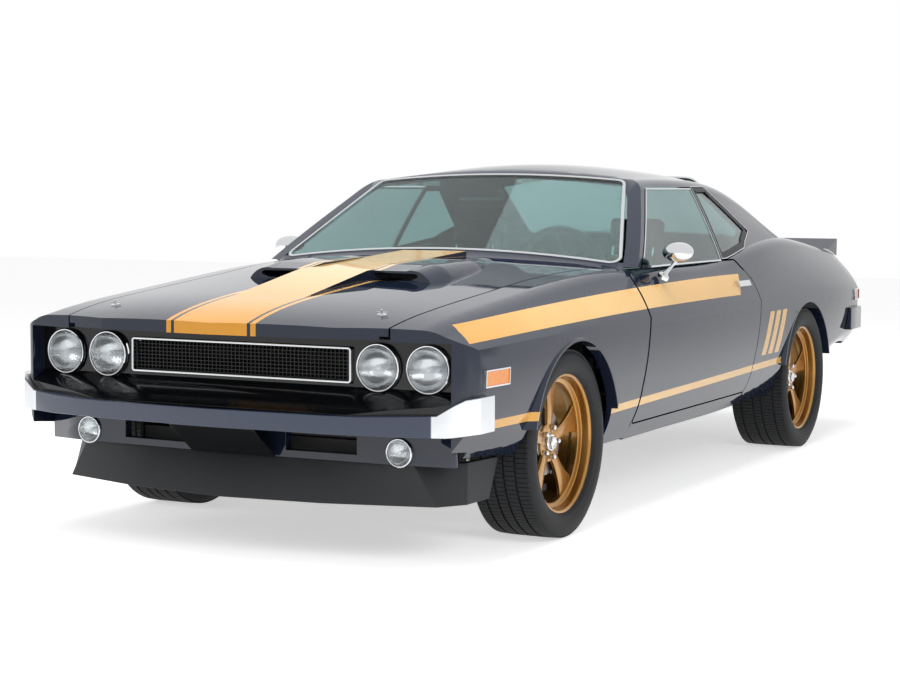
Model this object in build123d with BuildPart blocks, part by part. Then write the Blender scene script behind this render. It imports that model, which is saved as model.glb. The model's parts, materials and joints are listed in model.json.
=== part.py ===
from build123d import *
import math
import os

# Two-door muscle car of about 1970, in millimetres. +X is the car's left, +Y rearwards, +Z up.
# The origin is on the ground, in the middle of the car's length and width.

# Driving dimensions.
LENGTH = 4870.0
HALF_WIDTH = 940.0
HEIGHT = 1366.0
WHEELBASE = 2794.0
FRONT_OVERHANG = 970.0
TYRE_RADIUS = 340.0
RIM_RADIUS = 250.0
FRONT_TYRE_WIDTH = 245.0
REAR_TYRE_WIDTH = 275.0
FRONT_TRACK_HALF = 780.0
REAR_TRACK_HALF = 788.0
ARCH_RADIUS = 370.0
PANEL_WALL = 25.0
ROOF_WALL = 34.0
DOOR_WALL = 105.0
GLASS_WALL = 6.0
SHUT_GAP = 7.0
SEAT_GAP = 0.3
FLOOR_Z = 262.0
FLOOR_WALL = 20.0
OVERRUN = 60.0

front_axle_y = FRONT_OVERHANG - LENGTH / 2
rear_axle_y = front_axle_y + WHEELBASE
axle_z = TYRE_RADIUS
nose_y = -LENGTH / 2
tail_y = LENGTH / 2

os.makedirs("parts", exist_ok=True)


def save(piece, name):
    """Labels one finished piece and writes its file."""
    piece.part.label = name
    export_step(piece.part, f"parts/{name}.step")


# Shares run along the length from the middle, across from the centre line, and up from the ground.
def along(y_share):
    return y_share * LENGTH


def across(x_share):
    return x_share * HALF_WIDTH


def up(z_share):
    return z_share * HEIGHT


def side_points(shares):
    """Side-view points from shares of the length and the height."""
    return [(along(y), up(z)) for y, z in shares]


def front_points(shares):
    """Front-view points from shares of the half-width and the height."""
    return [(across(x), up(z)) for x, z in shares]


def plan_points(shares):
    """Top-view points from shares of the half-width and the length."""
    return [(across(x), along(y)) for x, y in shares]


def prism(plane, points, depth, rounding=0.0, grow=0.0):
    """A straight prism over a polygon on a plane, its long edges rounded, its outline grown."""
    with BuildPart() as block:
        with BuildSketch(plane) as outline:
            with BuildLine():
                Polyline(*points, close=True)
            make_face()
            if rounding:
                fillet(outline.vertices(), rounding)
            if grow:
                offset(amount=grow, kind=Kind.INTERSECTION)
        extrude(amount=depth)
    return block.part


def side_prism(points, x_from, x_to, rounding=0.0, grow=0.0):
    """A side-view polygon carried across the car."""
    return prism(Plane.YZ.offset(x_from), points, x_to - x_from, rounding, grow)


def front_prism(points, y_from, y_to, rounding=0.0, grow=0.0):
    """A front-view polygon carried along the car."""
    turned = Plane(origin=(0, y_from, 0), x_dir=(1, 0, 0), z_dir=(0, -1, 0))
    return prism(turned, points, y_from - y_to, rounding, grow)


def plan_prism(points, z_from, z_to, rounding=0.0, grow=0.0):
    """A top-view polygon carried upwards."""
    return prism(Plane.XY.offset(z_from), points, z_to - z_from, rounding, grow)


def box_between(low, high):
    """A box from its lowest corner to its highest."""
    size = [b - a for a, b in zip(low, high)]
    with BuildPart() as block:
        with Locations(tuple((a + b) / 2 for a, b in zip(low, high))):
            Box(*size)
    return block.part


def drum_along_x(y, z, radius, x_from, x_to):
    """A round bar across the car."""
    with BuildPart() as drum:
        with BuildSketch(Plane.YZ.offset(x_from)):
            with Locations((y, z)):
                Circle(radius)
        extrude(amount=x_to - x_from)
    return drum.part


def drum_along_y(x, z, radius, y_from, y_to):
    """A round bar along the car."""
    with BuildPart() as drum:
        with BuildSketch(Plane(origin=(x, y_from, z), x_dir=(1, 0, 0), z_dir=(0, 1, 0))):
            Circle(radius)
        extrude(amount=y_to - y_from)
    return drum.part


def drum_along_z(x, y, radius, z_from, z_to):
    """An upright round bar."""
    with BuildPart() as drum:
        with BuildSketch(Plane.XY.offset(z_from)):
            with Locations((x, y)):
                Circle(radius)
        extrude(amount=z_to - z_from)
    return drum.part


def across_car(solid):
    """The same solid on the car's right."""
    return mirror(solid, about=Plane.YZ)


def both_sides(solid):
    """A left-hand solid and its mirror image."""
    return [solid, across_car(solid)]


def toward(a, b, distance):
    """The point a distance from a on the way to b."""
    span = math.dist(a, b)
    return tuple(p + (q - p) * distance / span for p, q in zip(a, b))


def middle(a, b, bow=0.0):
    """The middle of a and b, pushed out sideways by a bow."""
    return ((a[0] + b[0]) / 2 + bow, (a[1] + b[1]) / 2)


# Lower body: sections across the car.
shoulder_round = 48.0
side_bow = 7.0
tuck_bow = 14.0
body_station_shares = [
    # y       x_sh   z_sh   x_cr   z_cr   x_low  z_low  x_sill z_sill z_crown
    (-0.509, 0.851, 0.545, 0.957, 0.529, 0.936, 0.351, 0.830, 0.242, 0.567),
    (-0.452, 0.840, 0.597, 0.973, 0.536, 0.957, 0.351, 0.840, 0.242, 0.622),
    (-0.390, 0.840, 0.624, 0.984, 0.542, 0.973, 0.351, 0.872, 0.234, 0.648),
    (-0.301, 0.846, 0.654, 0.992, 0.548, 0.979, 0.351, 0.899, 0.212, 0.677),
    (-0.205, 0.856, 0.682, 0.995, 0.551, 0.981, 0.351, 0.904, 0.205, 0.706),
    (-0.082, 0.894, 0.688, 0.998, 0.553, 0.984, 0.351, 0.904, 0.205, 0.721),
    (0.062, 0.899, 0.694, 0.998, 0.553, 0.984, 0.351, 0.904, 0.205, 0.721),
    (0.185, 0.883, 0.733, 0.998, 0.550, 0.981, 0.351, 0.904, 0.212, 0.750),
    (0.277, 0.851, 0.747, 0.998, 0.549, 0.984, 0.351, 0.904, 0.220, 0.754),
    (0.370, 0.830, 0.723, 0.992, 0.546, 0.973, 0.366, 0.920, 0.305, 0.736),
    (0.441, 0.819, 0.697, 0.973, 0.542, 0.952, 0.381, 0.894, 0.330, 0.700),
    (0.509, 0.798, 0.648, 0.936, 0.538, 0.915, 0.395, 0.862, 0.350, 0.664),
]


def body_section(shares, wall, top_wall, drop):
    """One closed section of the lower body, drawn in by the walls and let down at the sill."""
    y, x_sh, z_sh, x_cr, z_cr, x_low, z_low, x_sill, z_sill, z_crown = shares
    shoulder = (across(x_sh) - wall, up(z_sh) - top_wall)
    crease = (across(x_cr) - wall, up(z_cr))
    low = (across(x_low) - wall, up(z_low))
    sill = (across(x_sill) - wall, up(z_sill) - drop)
    crown = (0.0, up(z_crown) - top_wall)
    on_top = toward(shoulder, crown, shoulder_round)
    on_side = toward(shoulder, crease, shoulder_round)
    corner = middle(shoulder, middle(on_top, on_side))
    with BuildSketch(Plane.XZ.offset(-along(y))) as section:
        with BuildLine():
            ThreePointArc((-on_top[0], on_top[1]), crown, on_top)
            for side in (1, -1):
                def at(p):
                    return (side * p[0], p[1])
                ThreePointArc(at(on_top), at(corner), at(on_side))
                ThreePointArc(at(on_side), at(middle(on_side, crease, side_bow)), at(crease))
                ThreePointArc(at(crease), at(middle(crease, low, side_bow)), at(low))
                ThreePointArc(at(low), at(middle(low, sill, tuck_bow)), at(sill))
            Line(sill, (-sill[0], sill[1]))
        make_face()
    return section.sketch


def body_loft(wall=0.0, top_wall=0.0, drop=0.0):
    """The lower body through its sections, drawn in by the walls."""
    with BuildPart() as solid:
        for shares in body_station_shares:
            add(body_section(shares, wall, top_wall, drop))
        loft()
    return solid.part


# Greenhouse: sections across the car.
rail_round = 60.0
glass_bow = 9.0
roof_station_shares = [
    # y       x_base z_base x_rail z_rail z_crown
    (-0.195, 0.921, 0.640, 0.697, 0.924, 0.960),
    (-0.041, 0.923, 0.640, 0.699, 0.943, 0.971),
    (0.041, 0.923, 0.640, 0.700, 0.946, 1.000),
    (0.123, 0.917, 0.640, 0.697, 0.939, 0.994),
    (0.205, 0.896, 0.640, 0.694, 0.897, 0.963),
    (0.267, 0.879, 0.640, 0.734, 0.818, 0.900),
    (0.333, 0.864, 0.640, 0.809, 0.732, 0.805),
]


def roof_section(shares, wall, top_wall, drop):
    """One closed section of the greenhouse, drawn in by the walls and let down at its base."""
    y, x_base, z_base, x_rail, z_rail, z_crown = shares
    base = (across(x_base) - wall, up(z_base) - drop)
    rail = (across(x_rail) - wall, up(z_rail) - top_wall)
    crown = (0.0, up(z_crown) - top_wall)
    on_top = toward(rail, crown, rail_round)
    on_side = toward(rail, base, rail_round)
    corner = middle(rail, middle(on_top, on_side))
    with BuildSketch(Plane.XZ.offset(-along(y))) as section:
        with BuildLine():
            ThreePointArc((-on_top[0], on_top[1]), crown, on_top)
            for side in (1, -1):
                def at(p):
                    return (side * p[0], p[1])
                ThreePointArc(at(on_top), at(corner), at(on_side))
                ThreePointArc(at(on_side), at(middle(on_side, base, glass_bow)), at(base))
            Line(base, (-base[0], base[1]))
        make_face()
    return section.sketch


def roof_loft(wall=0.0, top_wall=0.0, drop=0.0):
    """The greenhouse through its sections, drawn in by the walls."""
    with BuildPart() as solid:
        for shares in roof_station_shares:
            add(roof_section(shares, wall, top_wall, drop))
        loft()
    return solid.part


# Windscreen and rear window: each on one slanted barrel surface.
WINDSCREEN_BEND = 5300.0
REAR_GLASS_BEND = 12000.0
screen_base = (along(-0.1546), up(0.7299))
screen_top = (along(-0.0411), up(0.9678))
rear_glass_top = (along(0.1643), up(0.9751))
rear_glass_base = (along(0.3162), up(0.7343))


class Pane:
    """A curved pane that leans along the car between two centre-line points."""

    def __init__(self, low, high, bend, outwards):
        self.span = math.dist(low, high)
        self.bend = bend
        self.rise = ((high[0] - low[0]) / self.span, (high[1] - low[1]) / self.span)
        self.out = (-self.rise[1] * outwards, self.rise[0] * outwards)
        self.low = low
        # looked at squarely: x across the car, y up the pane, z outwards or inwards
        self.face = Plane(origin=(0, low[0], low[1]), x_dir=(1, 0, 0),
                          z_dir=(0, -self.rise[1], self.rise[0]))
        # looked at along the pane
        self.end = Plane(origin=(0, low[0], low[1]), x_dir=(1, 0, 0),
                         z_dir=(0, -self.rise[0], -self.rise[1]))

    def shell(self, top, bottom, half_width, run_from, run_to):
        """What lies between two depths of the curved surface, or above one of them."""
        drop = half_width ** 2 / (2 * self.bend)
        with BuildPart() as solid:
            start = Plane(origin=(0, self.low[0] + self.rise[0] * run_from,
                                  self.low[1] + self.rise[1] * run_from),
                          x_dir=(1, 0, 0), z_dir=self.end.z_dir)
            flip = 1 if start.y_dir.Z > 0 else -1
            with BuildSketch(start):
                with BuildLine():
                    low_edge = [(-half_width, flip * (bottom - drop)), (0, flip * bottom),
                                (half_width, flip * (bottom - drop))]
                    high_edge = [(-half_width, flip * (top - drop)), (0, flip * top),
                                 (half_width, flip * (top - drop))]
                    ThreePointArc(*low_edge)
                    Line(low_edge[2], high_edge[2])
                    ThreePointArc(*high_edge)
                    Line(high_edge[0], low_edge[0])
                make_face()
            extrude(amount=run_from - run_to)
        return solid.part

    def opening(self, corners, depth, rounding):
        """A prism square to the pane over its outline."""
        with BuildPart() as solid:
            with BuildSketch(self.face) as outline:
                with BuildLine():
                    Polyline(*corners, close=True)
                make_face()
                fillet(outline.vertices(), rounding)
            extrude(amount=depth, both=True)
        return solid.part


screen = Pane(screen_base, screen_top, WINDSCREEN_BEND, 1)
rear_pane = Pane(rear_glass_base, rear_glass_top, REAR_GLASS_BEND, 1)

pane_depth = 2 * ROOF_WALL + OVERRUN
above_pane = HEIGHT / 2
wide = across(1.2)

# Outer forms.
FRONT_CORNER_ROUND = 90.0
roof_top = up(1.1)
wide = across(1.2)
nose_plan_shares = [(-1.2, -0.440), (-0.995, -0.449), (-0.924, -0.470), (-0.697, -0.479),
                    (-0.500, -0.489), (0.0, -0.4955), (0.500, -0.489), (0.697, -0.479),
                    (0.924, -0.470), (0.995, -0.449), (1.2, -0.440),
                    (1.2, 0.470), (0.975, 0.484), (0.910, 0.4955), (0.0, 0.4965),
                    (-0.910, 0.4955), (-0.975, 0.484), (-1.2, 0.470)]
plan_cut = plan_prism(plan_points(nose_plan_shares), 0, roof_top, FRONT_CORNER_ROUND)
plan_cut_seat = plan_prism(plan_points(nose_plan_shares), 0, roof_top, FRONT_CORNER_ROUND,
                           SEAT_GAP)
above_pane = HEIGHT / 2
full_form = body_loft()
lower_body = full_form & plan_cut
inner_body = body_loft(PANEL_WALL, PANEL_WALL, OVERRUN)
door_inner = body_loft(DOOR_WALL, PANEL_WALL, OVERRUN)
seat_body = body_loft(-SEAT_GAP, -SEAT_GAP, SEAT_GAP)
inner_roof = (roof_loft(ROOF_WALL, ROOF_WALL, OVERRUN)
              & box_between((-wide, nose_y, up(0.640) - PANEL_WALL), (wide, tail_y, HEIGHT)))
screen_air = screen.shell(above_pane, 0, wide, -above_pane, screen.span + above_pane)
rear_air = rear_pane.shell(above_pane, 0, wide, -above_pane, rear_pane.span + above_pane)
greenhouse = roof_loft() - screen_air - rear_air

# Window outlines.
screen_corner_shares = [(-0.840, 0.012), (0.840, 0.012), (0.628, 0.985), (-0.628, 0.985)]
rear_corner_shares = [(-0.670, 0.100), (0.670, 0.100), (0.545, 0.965), (-0.545, 0.965)]
PANE_CORNER = 45.0


def pane_points(pane, shares, grow=0.0):
    """Corners of a pane from shares of the half-width and of the pane's own rise."""
    points = []
    for x, run in shares:
        side = 1 if x > 0 else -1
        end = 1 if run > 0.5 else -1
        points.append((across(x) + side * grow, run * pane.span + end * grow))
    return points


pane_depth = ROOF_WALL * 2 + OVERRUN
screen_hole = screen.opening(pane_points(screen, screen_corner_shares), above_pane, PANE_CORNER)
rear_hole = rear_pane.opening(pane_points(rear_pane, rear_corner_shares), above_pane,
                              PANE_CORNER)
DOOR_TOP_SHARE = 0.692
side_glass_shares = [(-0.137, DOOR_TOP_SHARE), (-0.036, 0.924), (0.111, 0.926),
                     (0.188, 0.775), (0.156, 0.738), (0.131, DOOR_TOP_SHARE)]
door_glass_shares = [(-0.151, 0.660), (-0.036, 0.924), (0.0755, 0.9253), (0.0653, 0.660)]
quarter_glass_shares = [(0.0665, DOOR_TOP_SHARE), (0.0755, 0.9253), (0.111, 0.926),
                        (0.188, 0.775), (0.156, 0.738), (0.131, DOOR_TOP_SHARE)]
glass_from = across(0.45)
side_hole = side_prism(side_points(side_glass_shares), glass_from, wide)

# joins the window opening to the door opening below it
sill_side_shares = [(-0.130, 0.660), (-0.130, 0.705), (0.085, 0.705), (0.085, 0.660)]
sill_gap = side_prism(side_points(sill_side_shares), glass_from, wide)

# Door, hood and lid outlines.
door_side_shares = [(-0.1735, 0.249), (-0.158, 0.552), (-0.151, DOOR_TOP_SHARE),
                    (0.096, DOOR_TOP_SHARE), (0.116, 0.620), (0.1216, 0.548),
                    (0.116, 0.430), (0.105, 0.249)]
DOOR_CORNER = 22.0
DOOR_REBATE = 12.0
door_inner_x = across(0.775)
CABIN_HALF = 728.0
rebate_x = across(0.935)
HINGE_X = 900.0
HINGE_Y = -725.0
door_hole = side_prism(side_points(door_side_shares), CABIN_HALF - SHUT_GAP, wide, DOOR_CORNER)
fender_side_shares = [(-0.53, 0.0), (-0.1735, 0.0), (-0.1735, 0.249), (-0.158, 0.552),
                      (-0.151, DOOR_TOP_SHARE), (-0.151, 0.80), (-0.53, 0.80)]
fender_inner_x = across(0.760)
hood_half_shares = [(0.680, -0.51), (0.697, -0.427), (0.697, -0.275), (0.760, -0.164)]
hood_plan_shares = ([(x, y) for x, y in hood_half_shares]
                    + [(-x, y) for x, y in reversed(hood_half_shares)])
hood_low_z = up(0.556)
lid_front_y = along(0.320)
lid_rear_y = along(0.4915)
lid_half = across(0.700)
LID_CORNER = 30.0
lid_plan = [(-lid_half, lid_front_y), (lid_half, lid_front_y), (lid_half, lid_rear_y),
            (-lid_half, lid_rear_y)]

# Body shell.
CABIN_REAR_Y = 985.0
FOOTWELL_HALF = 690.0
footwell_top_z = up(0.636)
FOOTWELL_REAR_Y = -620.0
FIREWALL_Y = -860.0
COWL_REAR_Y = -700.0
TRUNK_HALF = 600.0
TRUNK_FLOOR_Z = 498.0
WHEELHOUSE_X = 640.0
shelf_front_y = CABIN_REAR_Y + PANEL_WALL * 10
wheel_bay_rear_y = rear_axle_y + ARCH_RADIUS + PANEL_WALL


def arch_air(axle_y, x_from):
    """What a wheel well takes out: a half drum and the space under it."""
    return drum_along_x(axle_y, axle_z, ARCH_RADIUS, x_from, wide) + box_between(
        (x_from, axle_y - ARCH_RADIUS, -OVERRUN), (wide, axle_y + ARCH_RADIUS, axle_z))


FLARE_OUT = 8.0
FLARE_RADIUS = ARCH_RADIUS + 40.0


def arch_flare(axle_y, x_inner, x_lip):
    """The rolled lip round a wheel opening, tapered back into the panel."""
    with BuildPart() as flare:
        with BuildSketch(Plane.XY) as section:
            with BuildLine():
                Polyline((x_inner, ARCH_RADIUS), (x_lip, ARCH_RADIUS),
                         (x_lip, ARCH_RADIUS + FLARE_OUT),
                         (x_inner, FLARE_RADIUS), close=True)
            make_face()
        revolve(axis=Axis.X, revolution_arc=360)
    placed = Pos(0, axle_y, axle_z) * flare.part
    keep = box_between((x_inner - OVERRUN, axle_y - FLARE_RADIUS, axle_z + ARCH_RADIUS / 4),
                       (wide, axle_y + FLARE_RADIUS, axle_z + FLARE_RADIUS))
    return placed & keep


rear_arches = both_sides(arch_air(rear_axle_y, WHEELHOUSE_X))
front_arches = both_sides(arch_air(front_axle_y, TRUNK_HALF / 2))
flare_inner_x = across(0.955)
flare_lip_x = HALF_WIDTH
screen_frame = screen.shell(above_pane, -ROOF_WALL, wide, -above_pane, screen.span + above_pane)
rear_frame = rear_pane.shell(above_pane, -ROOF_WALL, wide, -above_pane, rear_pane.span + above_pane)
TAIL_LAMP_LOW_Z = 650.0
TAIL_LAMP_TOP_Z = 735.0
TAIL_LAMP_DEPTH = 22.0
tail_lamp_from = across(0.16)
tail_lamp_to = across(0.88)
tail_lamp_y = along(0.4955) - TAIL_LAMP_DEPTH


def tail_lamp_box(clearance):
    return box_between(
        (tail_lamp_from - clearance, tail_lamp_y - clearance, TAIL_LAMP_LOW_Z - clearance),
        (tail_lamp_to + clearance, tail_y - PANEL_WALL / 2, TAIL_LAMP_TOP_Z + clearance))


with BuildPart() as roof_shell:
    add(greenhouse - (inner_roof - screen_frame - rear_frame))
    add([side_hole, across_car(side_hole), screen_hole, rear_hole], mode=Mode.SUBTRACT)

with BuildPart() as body_shell:
    add(lower_body)
    add(box_between((-wide, nose_y - OVERRUN, 0), (wide, FIREWALL_Y, HEIGHT)),
        mode=Mode.SUBTRACT)
    add(roof_shell.part & box_between((-wide, FIREWALL_Y, 0), (wide, tail_y, roof_top)))
    add(box_between((-CABIN_HALF, FOOTWELL_REAR_Y, 0),
                    (CABIN_HALF, CABIN_REAR_Y, up(0.640) + OVERRUN / 2)), mode=Mode.SUBTRACT)
    add(box_between((-FOOTWELL_HALF, FIREWALL_Y - OVERRUN, 0),
                    (FOOTWELL_HALF, FOOTWELL_REAR_Y, footwell_top_z)), mode=Mode.SUBTRACT)
    add(inner_roof & box_between((-wide, COWL_REAR_Y, 0), (wide, shelf_front_y, roof_top)),
        mode=Mode.SUBTRACT)
    add(inner_body & box_between((-TRUNK_HALF, CABIN_REAR_Y + PANEL_WALL, 0),
                                 (TRUNK_HALF, wheel_bay_rear_y + OVERRUN, HEIGHT)),
        mode=Mode.SUBTRACT)
    add(inner_body & box_between((-wide, wheel_bay_rear_y, 0),
                                 (wide, tail_lamp_y - PANEL_WALL, HEIGHT)),
        mode=Mode.SUBTRACT)
    add(box_between((-CABIN_HALF, CABIN_REAR_Y - OVERRUN, 0),
                    (CABIN_HALF, CABIN_REAR_Y + OVERRUN, TRUNK_FLOOR_Z + SEAT_GAP)),
        mode=Mode.SUBTRACT)
    add(box_between((-WHEELHOUSE_X - SEAT_GAP, CABIN_REAR_Y, -OVERRUN),
                    (WHEELHOUSE_X + SEAT_GAP, wheel_bay_rear_y, TRUNK_FLOOR_Z - FLOOR_WALL)),
        mode=Mode.SUBTRACT)
    for hole in both_sides(door_hole) + both_sides(sill_gap) + rear_arches:
        add(hole, mode=Mode.SUBTRACT)
    for zone in both_sides(side_prism(side_points(fender_side_shares),
                                      fender_inner_x, wide, 0, SEAT_GAP)):
        add(zone, mode=Mode.SUBTRACT)
    add(plan_prism(plan_points(hood_plan_shares), up(0.640), HEIGHT, 0, SHUT_GAP),
        mode=Mode.SUBTRACT)
    add(plan_prism(lid_plan, up(0.60), HEIGHT, LID_CORNER, SHUT_GAP)
        - body_loft(PANEL_WALL + SHUT_GAP, PANEL_WALL + SHUT_GAP), mode=Mode.SUBTRACT)
    for lamp in both_sides(tail_lamp_box(SEAT_GAP)):
        add(lamp, mode=Mode.SUBTRACT)
    for flare in both_sides(arch_flare(rear_axle_y, flare_inner_x, flare_lip_x)):
        add(flare)
save(body_shell, "body_shell")

# Front fenders.
nose_panel_y = along(-0.4567)
nose_solid_y = nose_panel_y + PANEL_WALL * 2
nose_half = across(0.905)
eyebrow_low_z = up(0.552)
fender_zone = (side_prism(side_points(fender_side_shares), 0, wide, 0, 0)
               - plan_prism(plan_points(hood_plan_shares), 0, roof_top, 0, SHUT_GAP)
               - side_prism(side_points(door_side_shares), 0, wide, 0, SHUT_GAP)
               - box_between((0, along(-0.164), 0),
                             (fender_inner_x + SEAT_GAP, 0, roof_top)))
fender_hollow = inner_body & box_between((-wide, nose_solid_y, -HEIGHT),
                                         (wide, 0, HEIGHT))
with BuildPart() as left_fender:
    add(lower_body & fender_zone)
    add(fender_hollow, mode=Mode.SUBTRACT)
    add(box_between((0, nose_y - OVERRUN, 0), (nose_half, nose_solid_y, eyebrow_low_z)),
        mode=Mode.SUBTRACT)
    add(front_arches[0], mode=Mode.SUBTRACT)
    add(arch_flare(front_axle_y, flare_inner_x, flare_lip_x)
        - side_prism(side_points(door_side_shares), 0, wide, 0, SHUT_GAP))
with BuildPart() as front_fenders:
    add(both_sides(left_fender.part))
save(front_fenders, "front_fenders")

# Hood with two forward-facing scoops on a raised centre.
HOOD_LIP_DEPTH = 70.0
SCOOP_INNER_X = 146.0
SCOOP_WALL = 8.0
scoop_shoulder_share = 0.115
scoop_low_share = 0.650
# place along the car, outer edge, height of the top
scoop_station_shares = [(-0.3224, 0.425, 0.694), (-0.296, 0.450, 0.7085),
                        (-0.240, 0.450, 0.7165), (-0.176, 0.370, 0.7165)]
scoop_mouth_shares = [(0.166, 0.6655), (0.325, 0.6690), (0.375, 0.6800), (0.345, 0.6875),
                      (0.166, 0.6885)]
SCOOP_MOUTH_ROUND = 7.0
scoop_throat_y = along(-0.297)
bulge_shares = [(-0.430, 0.630), (-0.330, 0.694), (-0.1645, 0.7315), (-0.1645, 0.655),
                (-0.430, 0.600)]


def scoop_section(y_share, outer_share, top_share):
    """One section of a scoop: a flat top that rolls over its outer shoulder."""
    outer, shoulder = across(outer_share), across(outer_share - scoop_shoulder_share)
    top, low = up(top_share), up(scoop_low_share)
    inner = SCOOP_INNER_X - SCOOP_WALL
    bend = (across(outer_share - scoop_shoulder_share / 4), (top * 2 + low) / 3)
    with BuildSketch(Plane.XZ.offset(-along(y_share))) as section:
        with BuildLine():
            Polyline((outer, low), (inner, low), (inner, top), (shoulder, top))
            ThreePointArc((shoulder, top), bend, (outer, low))
        make_face()
    return section.sketch


with BuildPart() as scoop:
    for y_share, outer_share, top_share in scoop_station_shares:
        add(scoop_section(y_share, outer_share, top_share))
    loft(ruled=True)
scoop_block = scoop.part
scoop_mouth = front_prism(front_points(scoop_mouth_shares), nose_y, scoop_throat_y,
                          SCOOP_MOUTH_ROUND)
hood_zone = plan_prism(plan_points(hood_plan_shares), hood_low_z, roof_top)
hood_hollow = inner_body & box_between((-wide, along(-0.4955) + HOOD_LIP_DEPTH, -HEIGHT),
                                       (wide, 0, HEIGHT))
bulge = side_prism(side_points(bulge_shares), -SCOOP_INNER_X, SCOOP_INNER_X)
hood_layer = lower_body & hood_zone
with BuildPart() as hood:
    add(hood_layer)
    add(bulge & hood_zone)
    for block in both_sides(scoop_block):
        add(block)
    add(hood_hollow, mode=Mode.SUBTRACT)
    for mouth in both_sides(scoop_mouth):
        add(mouth, mode=Mode.SUBTRACT)
save(hood, "hood")

# Deck lid and its spoiler.
with BuildPart() as deck_lid:
    add(lower_body & plan_prism(lid_plan, up(0.60), roof_top, LID_CORNER))
    add(inner_body, mode=Mode.SUBTRACT)
save(deck_lid, "deck_lid")
spoiler_shares = [(0.462, 0.620), (0.462, 0.686), (0.4975, 0.7285), (0.4985, 0.722),
                  (0.4965, 0.620)]
spoiler_half = across(0.808)
with BuildPart() as rear_spoiler:
    add(side_prism(side_points(spoiler_shares), -spoiler_half, spoiler_half))
    add(seat_body, mode=Mode.SUBTRACT)
    add(body_loft(-SHUT_GAP, -SHUT_GAP)
        - plan_prism(lid_plan, 0, roof_top, LID_CORNER), mode=Mode.SUBTRACT)
save(rear_spoiler, "rear_spoiler")

# Doors.
door_leaf = side_prism(side_points(door_side_shares), door_inner_x + SHUT_GAP, wide,
                       DOOR_CORNER, -SHUT_GAP)
rebate = (side_prism(side_points(door_side_shares), 0, rebate_x, DOOR_CORNER, 0)
          - Pos(0, -DOOR_REBATE, 0)
          * side_prism(side_points(door_side_shares), 0, rebate_x, DOOR_CORNER, -SHUT_GAP))
rebate = rebate & box_between((0, 0, 0), (rebate_x, tail_y, HEIGHT))
# each door hangs on two straps whose knuckles turn on pins in pockets of the leaf
HINGE_LOW_Z = 560.0
HINGE_HIGH_Z = 760.0
STRAP_HALF_HEIGHT = 20.0
STRAP_HALF_WALL = 5.0
KNUCKLE_RADIUS = 7.0
PIN_RADIUS = 3.0
PIN_PLAY = 0.3
POCKET_PLAY = 5.0
POCKET_FRONT_Y = -905.0
POCKET_DEPTH = 16.0
knuckle_reach = HINGE_X + KNUCKLE_RADIUS + POCKET_PLAY * PIN_PLAY
with BuildPart() as door_left:
    add(lower_body & door_leaf)
    add(door_inner, mode=Mode.SUBTRACT)
    add(rebate, mode=Mode.SUBTRACT)
    for hinge_z in (HINGE_LOW_Z, HINGE_HIGH_Z):
        pocket_half = STRAP_HALF_HEIGHT + POCKET_PLAY
        add(box_between((CABIN_HALF - SHUT_GAP, POCKET_FRONT_Y, hinge_z - pocket_half),
                        (knuckle_reach, HINGE_Y + POCKET_DEPTH, hinge_z + pocket_half)),
            mode=Mode.SUBTRACT)
        add(drum_along_z(HINGE_X, HINGE_Y, PIN_RADIUS, hinge_z - pocket_half - POCKET_PLAY,
                         hinge_z + pocket_half + POCKET_PLAY))
save(door_left, "door_left")
with BuildPart() as door_right:
    add(across_car(door_left.part))
save(door_right, "door_right")
strap_root_x = CABIN_HALF - SHUT_GAP + SEAT_GAP
with BuildPart() as door_hinges:
    for hinge_z in (HINGE_LOW_Z, HINGE_HIGH_Z):
        strap = (box_between((strap_root_x, HINGE_Y - STRAP_HALF_WALL,
                              hinge_z - STRAP_HALF_HEIGHT),
                             (HINGE_X, HINGE_Y + STRAP_HALF_WALL,
                              hinge_z + STRAP_HALF_HEIGHT))
                 + drum_along_z(HINGE_X, HINGE_Y, KNUCKLE_RADIUS,
                                hinge_z - STRAP_HALF_HEIGHT, hinge_z + STRAP_HALF_HEIGHT)
                 - drum_along_z(HINGE_X, HINGE_Y, PIN_RADIUS + PIN_PLAY,
                                hinge_z - pocket_half, hinge_z + pocket_half))
        for part in both_sides(strap):
            add(part)
save(door_hinges, "door_hinges")

# Glass.
GLASS_INSET = 3.0


def pane_glass(pane, shares, rounding):
    """One bonded pane, set in from the frame's face."""
    sheet = pane.shell(-GLASS_INSET, -GLASS_INSET - GLASS_WALL, wide, -OVERRUN,
                       pane.span + OVERRUN)
    return sheet & pane.opening(pane_points(pane, shares, -SEAT_GAP), above_pane, rounding)


with BuildPart() as windscreen:
    add(pane_glass(screen, screen_corner_shares, PANE_CORNER))
save(windscreen, "windscreen")
with BuildPart() as rear_window:
    add(pane_glass(rear_pane, rear_corner_shares, PANE_CORNER))
    add(seat_body, mode=Mode.SUBTRACT)
save(rear_window, "rear_window")

side_sheet = (roof_loft(GLASS_INSET, 0) - roof_loft(GLASS_INSET + GLASS_WALL, 0))
door_top_z = up(DOOR_TOP_SHARE) - SHUT_GAP
with BuildPart() as door_glass_left:
    add(side_sheet & side_prism(side_points(door_glass_shares), glass_from, wide, 0, -SHUT_GAP)
        & box_between((0, nose_y, door_top_z + SEAT_GAP), (wide, tail_y, roof_top)))
save(door_glass_left, "door_glass_left")
with BuildPart() as door_glass_right:
    add(across_car(door_glass_left.part))
save(door_glass_right, "door_glass_right")
with BuildPart() as quarter_windows:
    quarter_pane = (side_sheet & side_prism(side_points(quarter_glass_shares), glass_from,
                                            wide, 0, -SEAT_GAP)) - seat_body
    add(both_sides(quarter_pane.solids().sort_by(SortBy.VOLUME)[-1]))
save(quarter_windows, "quarter_windows")

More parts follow.
